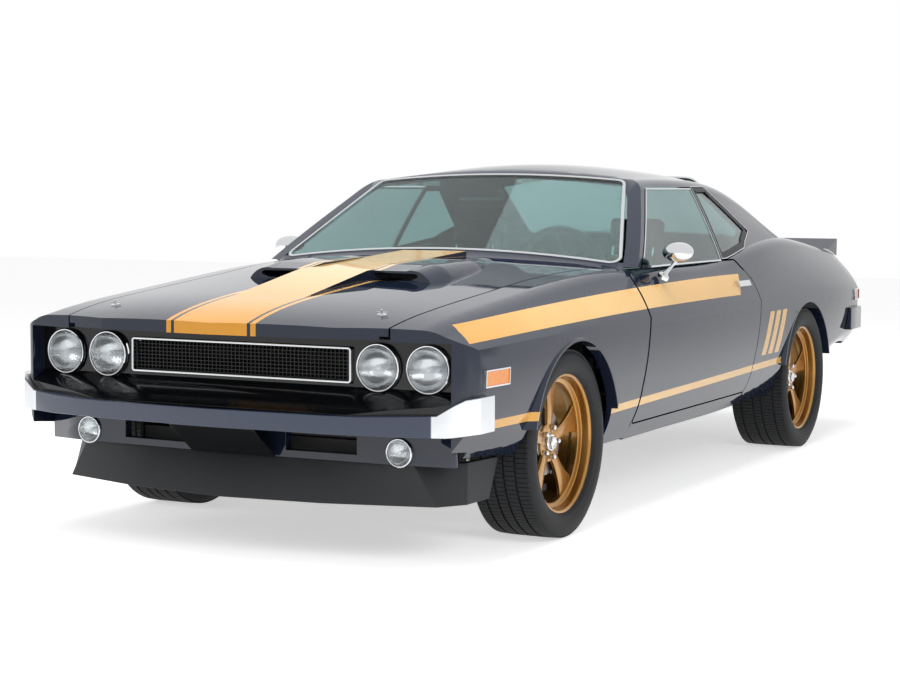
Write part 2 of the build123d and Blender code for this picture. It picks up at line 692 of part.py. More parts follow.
# Nose: panel with shelf, lamps, grille, bumper, valance, air dam.
LAMP_RADIUS = 82.0
LAMP_DEPTH = 60.0
LAMP_RING = 9.0
lamp_places_share = [(0.788, 0.484), (0.588, 0.483)]
panel_side_shares = [(-0.4525, 0.366), (-0.4525, 0.551), (-0.4567, 0.551), (-0.4567, 0.432),
                     (-0.4870, 0.3765), (-0.4870, 0.366)]
grille_outline_shares = [(-0.479, 0.440), (0.479, 0.440), (0.479, 0.530), (-0.479, 0.530)]
panel_half = nose_half - SEAT_GAP
lamp_front_y = nose_panel_y - LAMP_DEPTH / 3


def lamp_places():
    return [(side * across(x), up(z)) for x, z in lamp_places_share for side in (1, -1)]


with BuildPart() as headlamp_panel:
    add(side_prism(side_points(panel_side_shares), -panel_half, panel_half))
    add(front_prism(front_points(grille_outline_shares), nose_panel_y - OVERRUN,
                    nose_solid_y + OVERRUN), mode=Mode.SUBTRACT)
    for x, z in lamp_places():
        add(drum_along_y(x, z, LAMP_RADIUS, nose_panel_y - OVERRUN, nose_solid_y + OVERRUN),
            mode=Mode.SUBTRACT)
    add(seat_body & box_between((-wide, nose_y, up(0.5517)), (wide, 0, HEIGHT)) - hood_zone,
        mode=Mode.SUBTRACT)
    add(plan_cut, mode=Mode.INTERSECT)
save(headlamp_panel, "headlamp_panel")


def round_lamp(radius, ring, depth, front_y, x, z):
    """A sealed round lamp: bezel ring, domed lens and bowl, turned about its own axis."""
    lens = radius - ring
    dome = ring * 1.5
    dome_radius = (lens ** 2 + dome ** 2) / (2 * dome)
    half_turn = math.asin(lens / dome_radius) / 2
    dome_y = ring / 2 - dome + dome_radius
    with BuildPart() as lamp:
        with BuildSketch(Plane.XY):
            with BuildLine():
                Polyline((0, depth), (radius / 2, depth), (lens, depth / 3), (lens, ring),
                         (radius, ring), (radius, 0), (radius - ring / 3, -ring / 2), (lens, 0),
                         (lens, ring / 2))
                ThreePointArc((lens, ring / 2),
                              (dome_radius * math.sin(half_turn),
                               dome_y - dome_radius * math.cos(half_turn)),
                              (0, ring / 2 - dome))
                Line((0, ring / 2 - dome), (0, depth))
            make_face()
        revolve(axis=Axis.Y, revolution_arc=360)
    return Pos(x, front_y, z) * lamp.part


with BuildPart() as headlamps:
    for x, z in lamp_places():
        add(round_lamp(LAMP_RADIUS - SEAT_GAP, LAMP_RING, LAMP_DEPTH, lamp_front_y, x, z))
save(headlamps, "headlamps")

GRILLE_FRAME_WALL = 9.0
GRILLE_DEPTH = 46.0
GRILLE_BAR = 6.0
grille_rows = 5
grille_posts = 9
grille_half = across(0.479) - SEAT_GAP
grille_low = up(0.440) + SEAT_GAP
grille_high = up(0.530) - SEAT_GAP
grille_rear_y = nose_panel_y + PANEL_WALL
grille_front_y = nose_panel_y - GRILLE_DEPTH / 3
with BuildPart() as grille_frame:
    add(box_between((-grille_half, grille_front_y, grille_low),
                    (grille_half, grille_rear_y, grille_high)))
    add(box_between((-grille_half + GRILLE_FRAME_WALL, grille_front_y - OVERRUN,
                     grille_low + GRILLE_FRAME_WALL),
                    (grille_half - GRILLE_FRAME_WALL, grille_rear_y + OVERRUN,
                     grille_high - GRILLE_FRAME_WALL)), mode=Mode.SUBTRACT)
save(grille_frame, "grille_frame")
screen_half = grille_half - GRILLE_FRAME_WALL - SEAT_GAP
screen_low = grille_low + GRILLE_FRAME_WALL + SEAT_GAP
screen_high = grille_high - GRILLE_FRAME_WALL - SEAT_GAP
screen_front_y = grille_rear_y - GRILLE_BAR * 2
with BuildPart() as grille_screen:
    row_pitch = (screen_high - screen_low - GRILLE_BAR) / (grille_rows - 1)
    for row in range(grille_rows):
        z = screen_low + row * row_pitch
        add(box_between((-screen_half, screen_front_y, z),
                        (screen_half, screen_front_y + GRILLE_BAR, z + GRILLE_BAR)))
    post_pitch = (2 * screen_half - GRILLE_BAR) / (grille_posts - 1)
    for post in range(grille_posts):
        x = -screen_half + post * post_pitch
        add(box_between((x, screen_front_y + GRILLE_BAR / 2, screen_low),
                        (x + GRILLE_BAR, grille_rear_y, screen_high)))
save(grille_screen, "grille_screen")

bumper_plan_shares = [(-1.000, -0.442), (-0.992, -0.460), (-0.930, -0.4745), (-0.740, -0.487),
                      (-0.480, -0.4950), (0.0, -0.500), (0.480, -0.4950), (0.740, -0.487),
                      (0.930, -0.4745), (0.992, -0.460), (1.000, -0.442), (0.900, -0.442),
                      (0.860, -0.4560), (0.700, -0.4745), (0.460, -0.4830), (0.0, -0.4873),
                      (-0.460, -0.4830), (-0.700, -0.4745), (-0.860, -0.4560),
                      (-0.900, -0.442)]
bumper_front_shares = [(-1.01, 0.340), (-0.90, 0.331), (0.90, 0.331), (1.01, 0.340),
                       (1.01, 0.427), (0.955, 0.420), (0.870, 0.383), (0.60, 0.3755),
                       (-0.60, 0.3755), (-0.870, 0.383), (-0.955, 0.420), (-1.01, 0.427)]
with BuildPart() as front_bumper:
    add(plan_prism(plan_points(bumper_plan_shares), up(0.30), up(0.45)))
    add(front_prism(front_points(bumper_front_shares), nose_y - OVERRUN, along(-0.43)),
        mode=Mode.INTERSECT)
    add(seat_body & plan_cut_seat, mode=Mode.SUBTRACT)
    add(side_prism(side_points(panel_side_shares), -nose_half, nose_half, 0, SEAT_GAP)
        & plan_cut_seat, mode=Mode.SUBTRACT)
    main = front_bumper.part.solids().sort_by(SortBy.VOLUME)[-1]
with BuildPart() as front_bumper:
    add(main)
save(front_bumper, "front_bumper")

valance_low_z = up(0.250)
valance_mid_shares = [(-0.900, -0.4530), (-0.70, -0.4595), (0.0, -0.4640), (0.70, -0.4595),
                      (0.900, -0.4530), (0.900, -0.4468), (0.70, -0.4520), (0.0, -0.4565),
                      (-0.70, -0.4520), (-0.900, -0.4468)]
FOG_RADIUS = 50.0
FOG_X = 635.0
FOG_Z = 383.0
intake_shares = [(0.215, 0.268), (0.505, 0.268), (0.505, 0.312), (0.215, 0.312)]
fog_front_y = along(-0.4615)
with BuildPart() as front_valance:
    add(plan_prism(plan_points(valance_mid_shares), valance_low_z, up(0.366) - SEAT_GAP))
    for side in (1, -1):
        add(drum_along_y(side * FOG_X, FOG_Z, FOG_RADIUS, nose_y, along(-0.40)),
            mode=Mode.SUBTRACT)
    for hole in both_sides(front_prism(front_points(intake_shares), nose_y, along(-0.40))):
        add(hole, mode=Mode.SUBTRACT)
    main = front_valance.part.solids().sort_by(SortBy.VOLUME)[-1]
with BuildPart() as front_valance:
    add(main)
save(front_valance, "front_valance")
with BuildPart() as fog_lamps:
    for side in (1, -1):
        add(round_lamp(FOG_RADIUS - SEAT_GAP, LAMP_RING / 2, LAMP_DEPTH, fog_front_y,
                       side * FOG_X, FOG_Z))
save(fog_lamps, "fog_lamps")

# the air dam flares from the valance down to a wider lower edge
CHIN_LOW_Z = 205.0
chin_wall_shares = (0.016, 0.0035)
chin_low_half_shares = [(0.0, -0.4835), (0.40, -0.4740), (0.800, -0.4520), (0.868, -0.432),
                        (0.872, -0.400)]
chin_high_half_shares = [(0.0, -0.4635), (0.36, -0.4600), (0.715, -0.4535), (0.850, -0.425),
                         (0.872, -0.386)]


def dam_section(half_shares, z):
    """The dam's outline at one height, wrapped from side to side."""
    wall_x, wall_y = chin_wall_shares
    outer = ([(-x, y) for x, y in reversed(half_shares)] + half_shares[1:])
    inner = [(x - math.copysign(wall_x, x) if x else 0.0, y + wall_y) for x, y in outer]
    with BuildSketch(Plane.XY.offset(z)) as section:
        with BuildLine():
            Polyline(*plan_points(outer + inner[::-1]), close=True)
        make_face()
    return section.sketch


with BuildPart() as chin_spoiler:
    add(dam_section(chin_low_half_shares, CHIN_LOW_Z))
    add(dam_section(chin_high_half_shares, valance_low_z - SEAT_GAP))
    loft(ruled=True)
save(chin_spoiler, "chin_spoiler")

# Side markers, tail lamps, rear bumper.
MARKER_LENGTH = 165.0
MARKER_HEIGHT = 58.0
MARKER_DEPTH = 12.0
marker_places_share = [(-0.432, 0.4645), (0.4765, 0.516)]
with BuildPart() as side_markers:
    for y, z in marker_places_share:
        block = box_between(
            (across(0.70), along(y) - MARKER_LENGTH / 2, up(z) - MARKER_HEIGHT / 2),
            (wide, along(y) + MARKER_LENGTH / 2, up(z) + MARKER_HEIGHT / 2))
        lens = (block & (body_loft(-MARKER_DEPTH / 2, 0) & plan_cut)) - seat_body
        add(both_sides(lens.solids().sort_by(SortBy.VOLUME)[-1]))
save(side_markers, "side_markers")
with BuildPart() as tail_lamps:
    lamp = box_between((tail_lamp_from, tail_lamp_y, TAIL_LAMP_LOW_Z),
                       (tail_lamp_to, along(0.4955) + SEAT_GAP, TAIL_LAMP_TOP_Z))
    add(both_sides(lamp))
save(tail_lamps, "tail_lamps")
REAR_BUMPER_LOW_Z = 525.0
REAR_BUMPER_TOP_Z = 640.0
rear_bumper_shares = [(-0.990, 0.4350), (-0.985, 0.478), (-0.950, 0.4940), (-0.850, 0.500),
                      (0.850, 0.500), (0.950, 0.4940), (0.985, 0.478), (0.990, 0.4350)]
with BuildPart() as rear_bumper:
    add(plan_prism(plan_points(rear_bumper_shares), REAR_BUMPER_LOW_Z, REAR_BUMPER_TOP_Z))
    add(seat_body & plan_cut_seat, mode=Mode.SUBTRACT)
    main = rear_bumper.part.solids().sort_by(SortBy.VOLUME)[-1]
with BuildPart() as rear_bumper:
    add(main)
save(rear_bumper, "rear_bumper")

# Underbody: floor, tunnel, trunk floor, rails, firewall and front aprons.
TUNNEL_HALF = 170.0
TUNNEL_TOP_Z = 430.0
TUNNEL_WALL = 12.0
RAIL_HALF_WIDTH = 35.0
RAIL_X = 425.0
RAIL_LOW_Z = 300.0
RAIL_TOP_Z = 400.0
APRON_X = 478.0
APRON_WALL = 10.0
APRON_SHELF_Z = 765.0
floor_top_z = FLOOR_Z + FLOOR_WALL
floor_half = CABIN_HALF - SEAT_GAP
foot_half = FOOTWELL_HALF - SEAT_GAP
riser_y = CABIN_REAR_Y - SEAT_GAP
trunk_under_z = TRUNK_FLOOR_Z - FLOOR_WALL
trunk_half = TRUNK_HALF - SEAT_GAP
trunk_rear_y = tail_lamp_y - PANEL_WALL - SEAT_GAP
radiator_y = nose_panel_y + PANEL_WALL * 3
fender_line = [(APRON_X, radiator_y), (across(0.89), radiator_y),
               (across(0.89), FIREWALL_Y - SEAT_GAP), (APRON_X, FIREWALL_Y - SEAT_GAP)]
SHELF_WALL_Z = 8.0


def rail(x, y_from, y_to, low, high):
    return box_between((x - RAIL_HALF_WIDTH, y_from, low), (x + RAIL_HALF_WIDTH, y_to, high))


seat_inner = body_loft(PANEL_WALL + SEAT_GAP, PANEL_WALL + SEAT_GAP, OVERRUN)
with BuildPart() as underbody:
    add(box_between((-floor_half, FOOTWELL_REAR_Y + SEAT_GAP, FLOOR_Z),
                    (floor_half, riser_y, floor_top_z)))
    add(box_between((-foot_half, FIREWALL_Y, FLOOR_Z),
                    (foot_half, FOOTWELL_REAR_Y + OVERRUN, floor_top_z)))
    add(box_between((-foot_half, FIREWALL_Y, FLOOR_Z),
                    (foot_half, FIREWALL_Y + FLOOR_WALL, footwell_top_z - SEAT_GAP)))
    add(box_between((-trunk_half, riser_y - FLOOR_WALL, FLOOR_Z),
                    (trunk_half, riser_y, TRUNK_FLOOR_Z)))
    add(box_between((-trunk_half, riser_y - FLOOR_WALL, trunk_under_z),
                    (trunk_half, trunk_rear_y, TRUNK_FLOOR_Z)))
    add(seat_inner & box_between((-wide, wheel_bay_rear_y + SEAT_GAP, trunk_under_z),
                                 (wide, trunk_rear_y, TRUNK_FLOOR_Z)))
    add(box_between((-TUNNEL_HALF, FIREWALL_Y, FLOOR_Z),
                    (TUNNEL_HALF, riser_y, TUNNEL_TOP_Z)))
    add(box_between((-TUNNEL_HALF + TUNNEL_WALL, FIREWALL_Y - OVERRUN, 0),
                    (TUNNEL_HALF - TUNNEL_WALL, riser_y + OVERRUN, TUNNEL_TOP_Z - TUNNEL_WALL)),
        mode=Mode.SUBTRACT)
    for side in (1, -1):
        add(rail(side * RAIL_X, radiator_y, FIREWALL_Y + OVERRUN, RAIL_LOW_Z, RAIL_TOP_Z))
        add(rail(side * RAIL_X, FIREWALL_Y, CABIN_REAR_Y, FLOOR_Z - RAIL_HALF_WIDTH,
                 floor_top_z))
        add(rail(side * RAIL_X, riser_y - FLOOR_WALL, trunk_rear_y,
                 trunk_under_z - RAIL_HALF_WIDTH, TRUNK_FLOOR_Z))
    add(box_between((-RAIL_X, radiator_y, RAIL_LOW_Z),
                    (RAIL_X, radiator_y + RAIL_HALF_WIDTH, RAIL_TOP_Z)))
    add(box_between((-APRON_X, radiator_y, up(0.480)),
                    (APRON_X, radiator_y + RAIL_HALF_WIDTH, up(0.510))))
    for side in (1, -1):
        apron = box_between((APRON_X - APRON_WALL, radiator_y, RAIL_LOW_Z),
                            (APRON_X, FIREWALL_Y + FLOOR_WALL, APRON_SHELF_Z))
        shelf = plan_prism(fender_line, APRON_SHELF_Z - SHELF_WALL_Z, APRON_SHELF_Z) & seat_inner
        link = box_between((RAIL_X, radiator_y, RAIL_LOW_Z),
                           (APRON_X, FIREWALL_Y, RAIL_LOW_Z + APRON_WALL))
        for piece in (apron, shelf, link):
            add(piece if side == 1 else across_car(piece))
save(underbody, "underbody")

# Engine block with gearbox.
ENGINE_HALF = 270.0
ENGINE_FRONT_Y = -1830.0
ENGINE_REAR_Y = -1130.0
ENGINE_LOW_Z = 310.0
ENGINE_TOP_Z = 790.0
SHAFT_Z = 345.0
gearbox_radius = TUNNEL_HALF - TUNNEL_WALL * 4
GEARBOX_REAR_Y = -420.0
with BuildPart() as engine:
    add(box_between((-ENGINE_HALF, ENGINE_FRONT_Y, ENGINE_LOW_Z),
                    (ENGINE_HALF, ENGINE_REAR_Y, ENGINE_TOP_Z)))
    add(drum_along_y(0, SHAFT_Z, gearbox_radius / 2, ENGINE_REAR_Y, GEARBOX_REAR_Y))
save(engine, "engine")

# Wheels.
BORE_RADIUS = 20.3
SPINDLE_RADIUS = 20.0
HUB_RADIUS = 62.0
CAP_RADIUS = 38.0
DISC_RADIUS = 132.0
DISC_WALL = 20.0
RIM_WALL = 9.0
LIP_STEP = 22.0
SPOKE_COUNT = 5
SPOKE_HALF = 34.0
POST_RADIUS = 18.0
hub_from = POST_RADIUS + 6 * SEAT_GAP
tread_shoulder = 22.0


def tyre(width):
    """A tyre about the X axis, bulged walls between bead and shoulder."""
    half = width / 2
    bead = half - tread_shoulder
    wall_r = (RIM_RADIUS + TYRE_RADIUS) / 2
    with BuildPart() as rubber:
        with BuildSketch(Plane.XY):
            with BuildLine():
                Line((-bead, RIM_RADIUS), (bead, RIM_RADIUS))
                for s in (1, -1):
                    ThreePointArc((s * bead, RIM_RADIUS), (s * half, wall_r),
                                  (s * (half - tread_shoulder / 2),
                                   TYRE_RADIUS - tread_shoulder / 2))
                    Line((s * (half - tread_shoulder / 2), TYRE_RADIUS - tread_shoulder / 2),
                         (s * bead, TYRE_RADIUS))
                Line((-bead, TYRE_RADIUS), (bead, TYRE_RADIUS))
            make_face()
        revolve(axis=Axis.X, revolution_arc=360)
    return rubber.part


def rim(width):
    """A deep stepped rim with five spokes, hub, brake disc and spindle bore, about X."""
    half = width / 2 - tread_shoulder
    out = RIM_RADIUS - SEAT_GAP
    dish = half * 0.45
    with BuildPart() as wheel:
        with BuildSketch(Plane.XY):
            with BuildLine():
                Polyline((-half, out), (half, out), (half, out - RIM_WALL),
                         (half - LIP_STEP, out - RIM_WALL - SEAT_GAP),
                         (half - LIP_STEP, out - LIP_STEP), (dish, out - LIP_STEP),
                         (dish, out - LIP_STEP - RIM_WALL), (dish - LIP_STEP, out - RIM_WALL * 2),
                         (-half, out - RIM_WALL), close=True)
            make_face()
        revolve(axis=Axis.X, revolution_arc=360)
        with BuildSketch(Plane.XY):
            with BuildLine():
                Polyline((hub_from, BORE_RADIUS), (hub_from, DISC_RADIUS),
                         (hub_from + DISC_WALL, DISC_RADIUS), (hub_from + DISC_WALL, HUB_RADIUS),
                         (dish + LIP_STEP, HUB_RADIUS), (dish + LIP_STEP, CAP_RADIUS),
                         (dish + LIP_STEP * 2, CAP_RADIUS - LIP_STEP / 4),
                         (dish + LIP_STEP * 2, 0), (dish, 0), (dish, BORE_RADIUS), close=True)
            make_face()
        revolve(axis=Axis.X, revolution_arc=360)
        for turn in range(SPOKE_COUNT):
            with BuildPart(mode=Mode.PRIVATE) as spoke:
                with BuildSketch(Plane.YZ.offset(dish - LIP_STEP / 2)):
                    with BuildLine():
                        Polyline((-SPOKE_HALF, HUB_RADIUS / 2),
                                 (-SPOKE_HALF * 1.5, out - LIP_STEP),
                                 (SPOKE_HALF * 1.5, out - LIP_STEP),
                                 (SPOKE_HALF, HUB_RADIUS / 2), close=True)
                    make_face()
                extrude(amount=LIP_STEP)
            add(Rot(turn * 360 / SPOKE_COUNT, 0, 0) * spoke.part)
    return wheel.part


wheel_table = [
    # name          side  y             half-track        width
    ("front_left", 1, front_axle_y, FRONT_TRACK_HALF, FRONT_TYRE_WIDTH),
    ("front_right", -1, front_axle_y, FRONT_TRACK_HALF, FRONT_TYRE_WIDTH),
    ("rear_left", 1, rear_axle_y, REAR_TRACK_HALF, REAR_TYRE_WIDTH),
    ("rear_right", -1, rear_axle_y, REAR_TRACK_HALF, REAR_TYRE_WIDTH),
]
for name, side, wheel_y, half_track, width in wheel_table:
    for kind, shape in (("tyre", tyre(width)), ("rim", rim(width))):
        shape = shape if side == 1 else across_car(shape)
        with BuildPart() as wheel_piece:
            add(Pos(side * half_track, wheel_y, axle_z) * shape)
        save(wheel_piece, f"{kind}_{name}")

# Steering knuckles, arms, crossmember, rack.
POST_HALF = 155.0
ARM_REACH = 105.0
ARM_HALF = 11.0
ARM_DROP = 90.0
spindle_to = FRONT_TYRE_WIDTH / 2 * 0.36
arm_z = axle_z - ARM_DROP
rack_y = front_axle_y + ARM_REACH
TIE_ROD_RADIUS = 10.0
LINK_CLEARANCE = 6.0
tie_z = arm_z - ARM_HALF - LINK_CLEARANCE - TIE_ROD_RADIUS
with BuildPart() as knuckle_left:
    add(drum_along_z(FRONT_TRACK_HALF, front_axle_y, POST_RADIUS, axle_z - POST_HALF,
                     axle_z + POST_HALF))
    add(drum_along_x(front_axle_y, axle_z, SPINDLE_RADIUS, FRONT_TRACK_HALF,
                     FRONT_TRACK_HALF + spindle_to))
    add(box_between((FRONT_TRACK_HALF - ARM_HALF, front_axle_y, arm_z - ARM_HALF),
                    (FRONT_TRACK_HALF + ARM_HALF, rack_y, arm_z + ARM_HALF)))
    add(drum_along_z(FRONT_TRACK_HALF, rack_y, ARM_HALF * 1.5, arm_z - ARM_HALF,
                     arm_z + ARM_HALF))
save(knuckle_left, "knuckle_left")
with BuildPart() as knuckle_right:
    add(across_car(knuckle_left.part))
save(knuckle_right, "knuckle_right")
with BuildPart() as steering_linkage:
    add(drum_along_x(rack_y, tie_z, TIE_ROD_RADIUS, -FRONT_TRACK_HALF, FRONT_TRACK_HALF))
    for side in (1, -1):
        add(drum_along_z(side * FRONT_TRACK_HALF, rack_y, ARM_HALF * 1.5,
                         tie_z - TIE_ROD_RADIUS, tie_z + TIE_ROD_RADIUS))
save(steering_linkage, "steering_linkage")
CROSS_HALF_DEPTH = 55.0
CROSS_LOW_Z = 170.0
CONTROL_ARM_HALF = 30.0
CONTROL_ARM_WALL = 24.0
RACK_RADIUS = 26.0
RACK_HALF = 300.0
cross_half = RAIL_X + RAIL_HALF_WIDTH
ball_low_z = axle_z - POST_HALF - SEAT_GAP
ball_high_z = axle_z + POST_HALF + SEAT_GAP
with BuildPart() as front_crossmember:
    add(box_between((-cross_half, front_axle_y - CROSS_HALF_DEPTH, CROSS_LOW_Z),
                    (cross_half, front_axle_y + CROSS_HALF_DEPTH, RAIL_LOW_Z - SEAT_GAP)))
    add(drum_along_x(rack_y, tie_z, RACK_RADIUS, -RACK_HALF, RACK_HALF))
    add(box_between((-RACK_HALF, front_axle_y, tie_z - TIE_ROD_RADIUS),
                    (RACK_HALF, rack_y, tie_z + TIE_ROD_RADIUS)))
    add(drum_along_x(rack_y, tie_z, TIE_ROD_RADIUS + SEAT_GAP, -wide, wide),
        mode=Mode.SUBTRACT)
    for side in (1, -1):
        lower = box_between((cross_half - OVERRUN, front_axle_y - CONTROL_ARM_HALF,
                             ball_low_z - CONTROL_ARM_WALL),
                            (FRONT_TRACK_HALF + POST_RADIUS,
                             front_axle_y + CONTROL_ARM_HALF, ball_low_z))
        add(lower if side == 1 else across_car(lower))
save(front_crossmember, "front_crossmember")
with BuildPart() as upper_arms:
    arm = box_between((APRON_X + SEAT_GAP, front_axle_y - CONTROL_ARM_HALF, ball_high_z),
                      (FRONT_TRACK_HALF + POST_RADIUS, front_axle_y + CONTROL_ARM_HALF,
                       ball_high_z + CONTROL_ARM_WALL / 2))
    add(both_sides(arm))
save(upper_arms, "upper_arms")

# Rear axle, springs, exhaust, tank.
AXLE_TUBE_RADIUS = 42.0
DIFF_RADIUS = 135.0
SHAFT_RADIUS = 36.0
rear_spindle_to = REAR_TRACK_HALF + REAR_TYRE_WIDTH / 2 * 0.36
axle_tube_to = REAR_TRACK_HALF + POST_RADIUS
SPRING_X = 525.0
SPRING_HALF = 32.0
SPRING_FRONT_REACH = 325.0
SPRING_FRONT_RISE = 45.0
SPRING_REACH = 680.0
SPRING_SAG = 100.0
SPRING_WALL = 26.0
spring_top_z = axle_z - AXLE_TUBE_RADIUS - SEAT_GAP
with BuildPart() as rear_axle:
    add(drum_along_x(rear_axle_y, axle_z, AXLE_TUBE_RADIUS, -axle_tube_to, axle_tube_to))
    add(drum_along_x(rear_axle_y, axle_z, SPINDLE_RADIUS, -rear_spindle_to, rear_spindle_to))
    with Locations((0, rear_axle_y, axle_z)):
        Sphere(DIFF_RADIUS)
    add(drum_along_y(0, axle_z, SHAFT_RADIUS, GEARBOX_REAR_Y + SEAT_GAP, rear_axle_y))
save(rear_axle, "rear_axle")
with BuildPart() as leaf_springs:
    for side in (1, -1):
        with BuildSketch(Plane.YZ.offset(side * SPRING_X - SPRING_HALF)):
            with BuildLine():
                top = [(rear_axle_y - SPRING_FRONT_REACH, spring_top_z + SPRING_FRONT_RISE),
                       (rear_axle_y, spring_top_z),
                       (rear_axle_y + SPRING_REACH, spring_top_z + SPRING_SAG)]
                low = [(y, z - SPRING_WALL) for y, z in top]
                ThreePointArc(*top)
                Line(top[2], low[2])
                ThreePointArc(*low)
                Line(low[0], top[0])
            make_face()
        extrude(amount=SPRING_HALF * 2)
save(leaf_springs, "leaf_springs")
PIPE_RADIUS = 30.0
PIPE_X = 335.0
MUFFLER_HALF = 85.0
pipe_route_shares = [(-0.230, 0.1625), (0.205, 0.1625), (0.245, 0.3155), (0.300, 0.3155),
                     (0.345, 0.2350), (0.494, 0.2350)]
PIPE_BEND = 60.0
with BuildPart() as exhaust_system:
    for side in (1, -1):
        with BuildLine() as route:
            FilletPolyline(*[(side * PIPE_X, along(y), up(z)) for y, z in pipe_route_shares],
                           radius=PIPE_BEND)
        with BuildSketch(Plane(origin=route.line @ 0, z_dir=route.line % 0)):
            Circle(PIPE_RADIUS)
        sweep()
        muffler = box_between((PIPE_X - MUFFLER_HALF, along(0.02), up(0.118)),
                              (PIPE_X + MUFFLER_HALF / 3, along(0.13), FLOOR_Z - SEAT_GAP))
        add(muffler if side == 1 else across_car(muffler))
save(exhaust_system, "exhaust_system")
TANK_HALF = 270.0
TANK_FRONT_Y = 1690.0
TANK_REAR_Y = 2200.0
TANK_LOW_Z = 290.0
with BuildPart() as fuel_tank:
    add(plan_prism([(-TANK_HALF, TANK_FRONT_Y), (TANK_HALF, TANK_FRONT_Y),
                    (TANK_HALF, TANK_REAR_Y), (-TANK_HALF, TANK_REAR_Y)],
                   TANK_LOW_Z, trunk_under_z - SEAT_GAP, OVERRUN))
save(fuel_tank, "fuel_tank")

# Interior.
SEAT_X = 400.0
SEAT_HALF = 225.0
seat_side_shares = [(-0.065, 0.2070), (-0.070, 0.350), (-0.060, 0.372), (0.028, 0.345),
                    (0.072, 0.800), (0.082, 0.828), (0.098, 0.820), (0.098, 0.780),
                    (0.062, 0.300), (0.055, 0.2070)]
with BuildPart() as front_seats:
    seat = side_prism(side_points(seat_side_shares), SEAT_X - SEAT_HALF, SEAT_X + SEAT_HALF)
    add(both_sides(seat))
save(front_seats, "front_seats")
rear_seat_shares = [(0.112, 0.2070), (0.112, 0.350), (0.125, 0.365), (0.165, 0.350),
                    (0.182, 0.690), (0.190, 0.690), (0.1975, 0.365), (0.1975, 0.2070)]
REAR_SEAT_HALF = 640.0
with BuildPart() as rear_seat:
    add(side_prism(side_points(rear_seat_shares), -REAR_SEAT_HALF, REAR_SEAT_HALF))
    add(box_between((-TUNNEL_HALF - SEAT_GAP, 0, 0),
                    (TUNNEL_HALF + SEAT_GAP, tail_y, TUNNEL_TOP_Z + SEAT_GAP)),
        mode=Mode.SUBTRACT)
save(rear_seat, "rear_seat")
WHEEL_X = 370.0
column_low = (-0.115, 0.607)
column_high = (-0.071, 0.655)
dash_shares = [(-0.172, 0.560), (-0.172, 0.638), (-0.143, 0.682), (-0.110, 0.690),
               (-0.098, 0.665), (-0.103, 0.560), (-0.118, 0.500)]
COLUMN_RADIUS = 28.0
STEER_RADIUS = 190.0
STEER_GRIP = 14.0
with BuildPart() as dashboard:
    add(side_prism(side_points(dash_shares), -FOOTWELL_HALF + SEAT_GAP * 2,
                   FOOTWELL_HALF - SEAT_GAP * 2))
    add(box_between((-wide, FIREWALL_Y - OVERRUN, 0),
                    (wide, FIREWALL_Y + FLOOR_WALL + SEAT_GAP, HEIGHT)), mode=Mode.SUBTRACT)
    add(lower_body & box_between((-wide, FIREWALL_Y, footwell_top_z - SEAT_GAP),
                                 (wide, COWL_REAR_Y + SEAT_GAP, HEIGHT)), mode=Mode.SUBTRACT)
    col_a = (along(column_low[0]), up(column_low[1]))
    col_b = (along(column_high[0]), up(column_high[1]))
    column_span = math.dist(col_a, col_b)
    column_dir = ((col_b[0] - col_a[0]) / column_span, (col_b[1] - col_a[1]) / column_span)
    with BuildSketch(Plane(origin=(WHEEL_X, *col_a), z_dir=(0, *column_dir))):
        Circle(COLUMN_RADIUS)
    extrude(amount=column_span)
save(dashboard, "dashboard")
wheel_centre = (WHEEL_X, *col_b)
wheel_plane = Plane(origin=wheel_centre, x_dir=(1, 0, 0), z_dir=(0, *column_dir))
with BuildPart() as steering_wheel:
    with BuildPart(mode=Mode.PRIVATE) as ring:
        Torus(STEER_RADIUS, STEER_GRIP)
        for turn in range(3):
            with Locations(Rot(0, 0, 30 + 120 * turn) * Pos(STEER_RADIUS / 2, 0, 0)):
                Box(STEER_RADIUS, STEER_GRIP * 1.6, STEER_GRIP / 2)
        with Locations(Pos(0, 0, -STEER_GRIP / 2)):
            Cylinder(COLUMN_RADIUS * 1.4, STEER_GRIP * 2)
    add(wheel_plane * Pos(0, 0, STEER_GRIP * 1.5 + SEAT_GAP) * ring.part)
save(steering_wheel, "steering_wheel")
MIRROR_HALF = 105.0
MIRROR_HALF_HEIGHT = 27.0
MIRROR_WALL = 22.0
mirror_y = along(-0.0795)
mirror_z = up(0.872)
with BuildPart() as interior_mirror:
    add(box_between((-MIRROR_HALF, mirror_y, mirror_z - MIRROR_HALF_HEIGHT),
                    (MIRROR_HALF, mirror_y + MIRROR_WALL, mirror_z + MIRROR_HALF_HEIGHT)))
    add(drum_along_z(0, mirror_y + MIRROR_WALL / 2, MIRROR_WALL / 3, mirror_z, roof_top))
    add(screen.shell(above_pane, -GLASS_INSET - GLASS_WALL - SEAT_GAP, wide, -above_pane,
                     screen.span * 1.5), mode=Mode.SUBTRACT)
    add(roof_shell.part, mode=Mode.SUBTRACT)
    main = interior_mirror.part.solids().sort_by(SortBy.VOLUME)[-1]
with BuildPart() as interior_mirror:
    add(main)
save(interior_mirror, "interior_mirror")

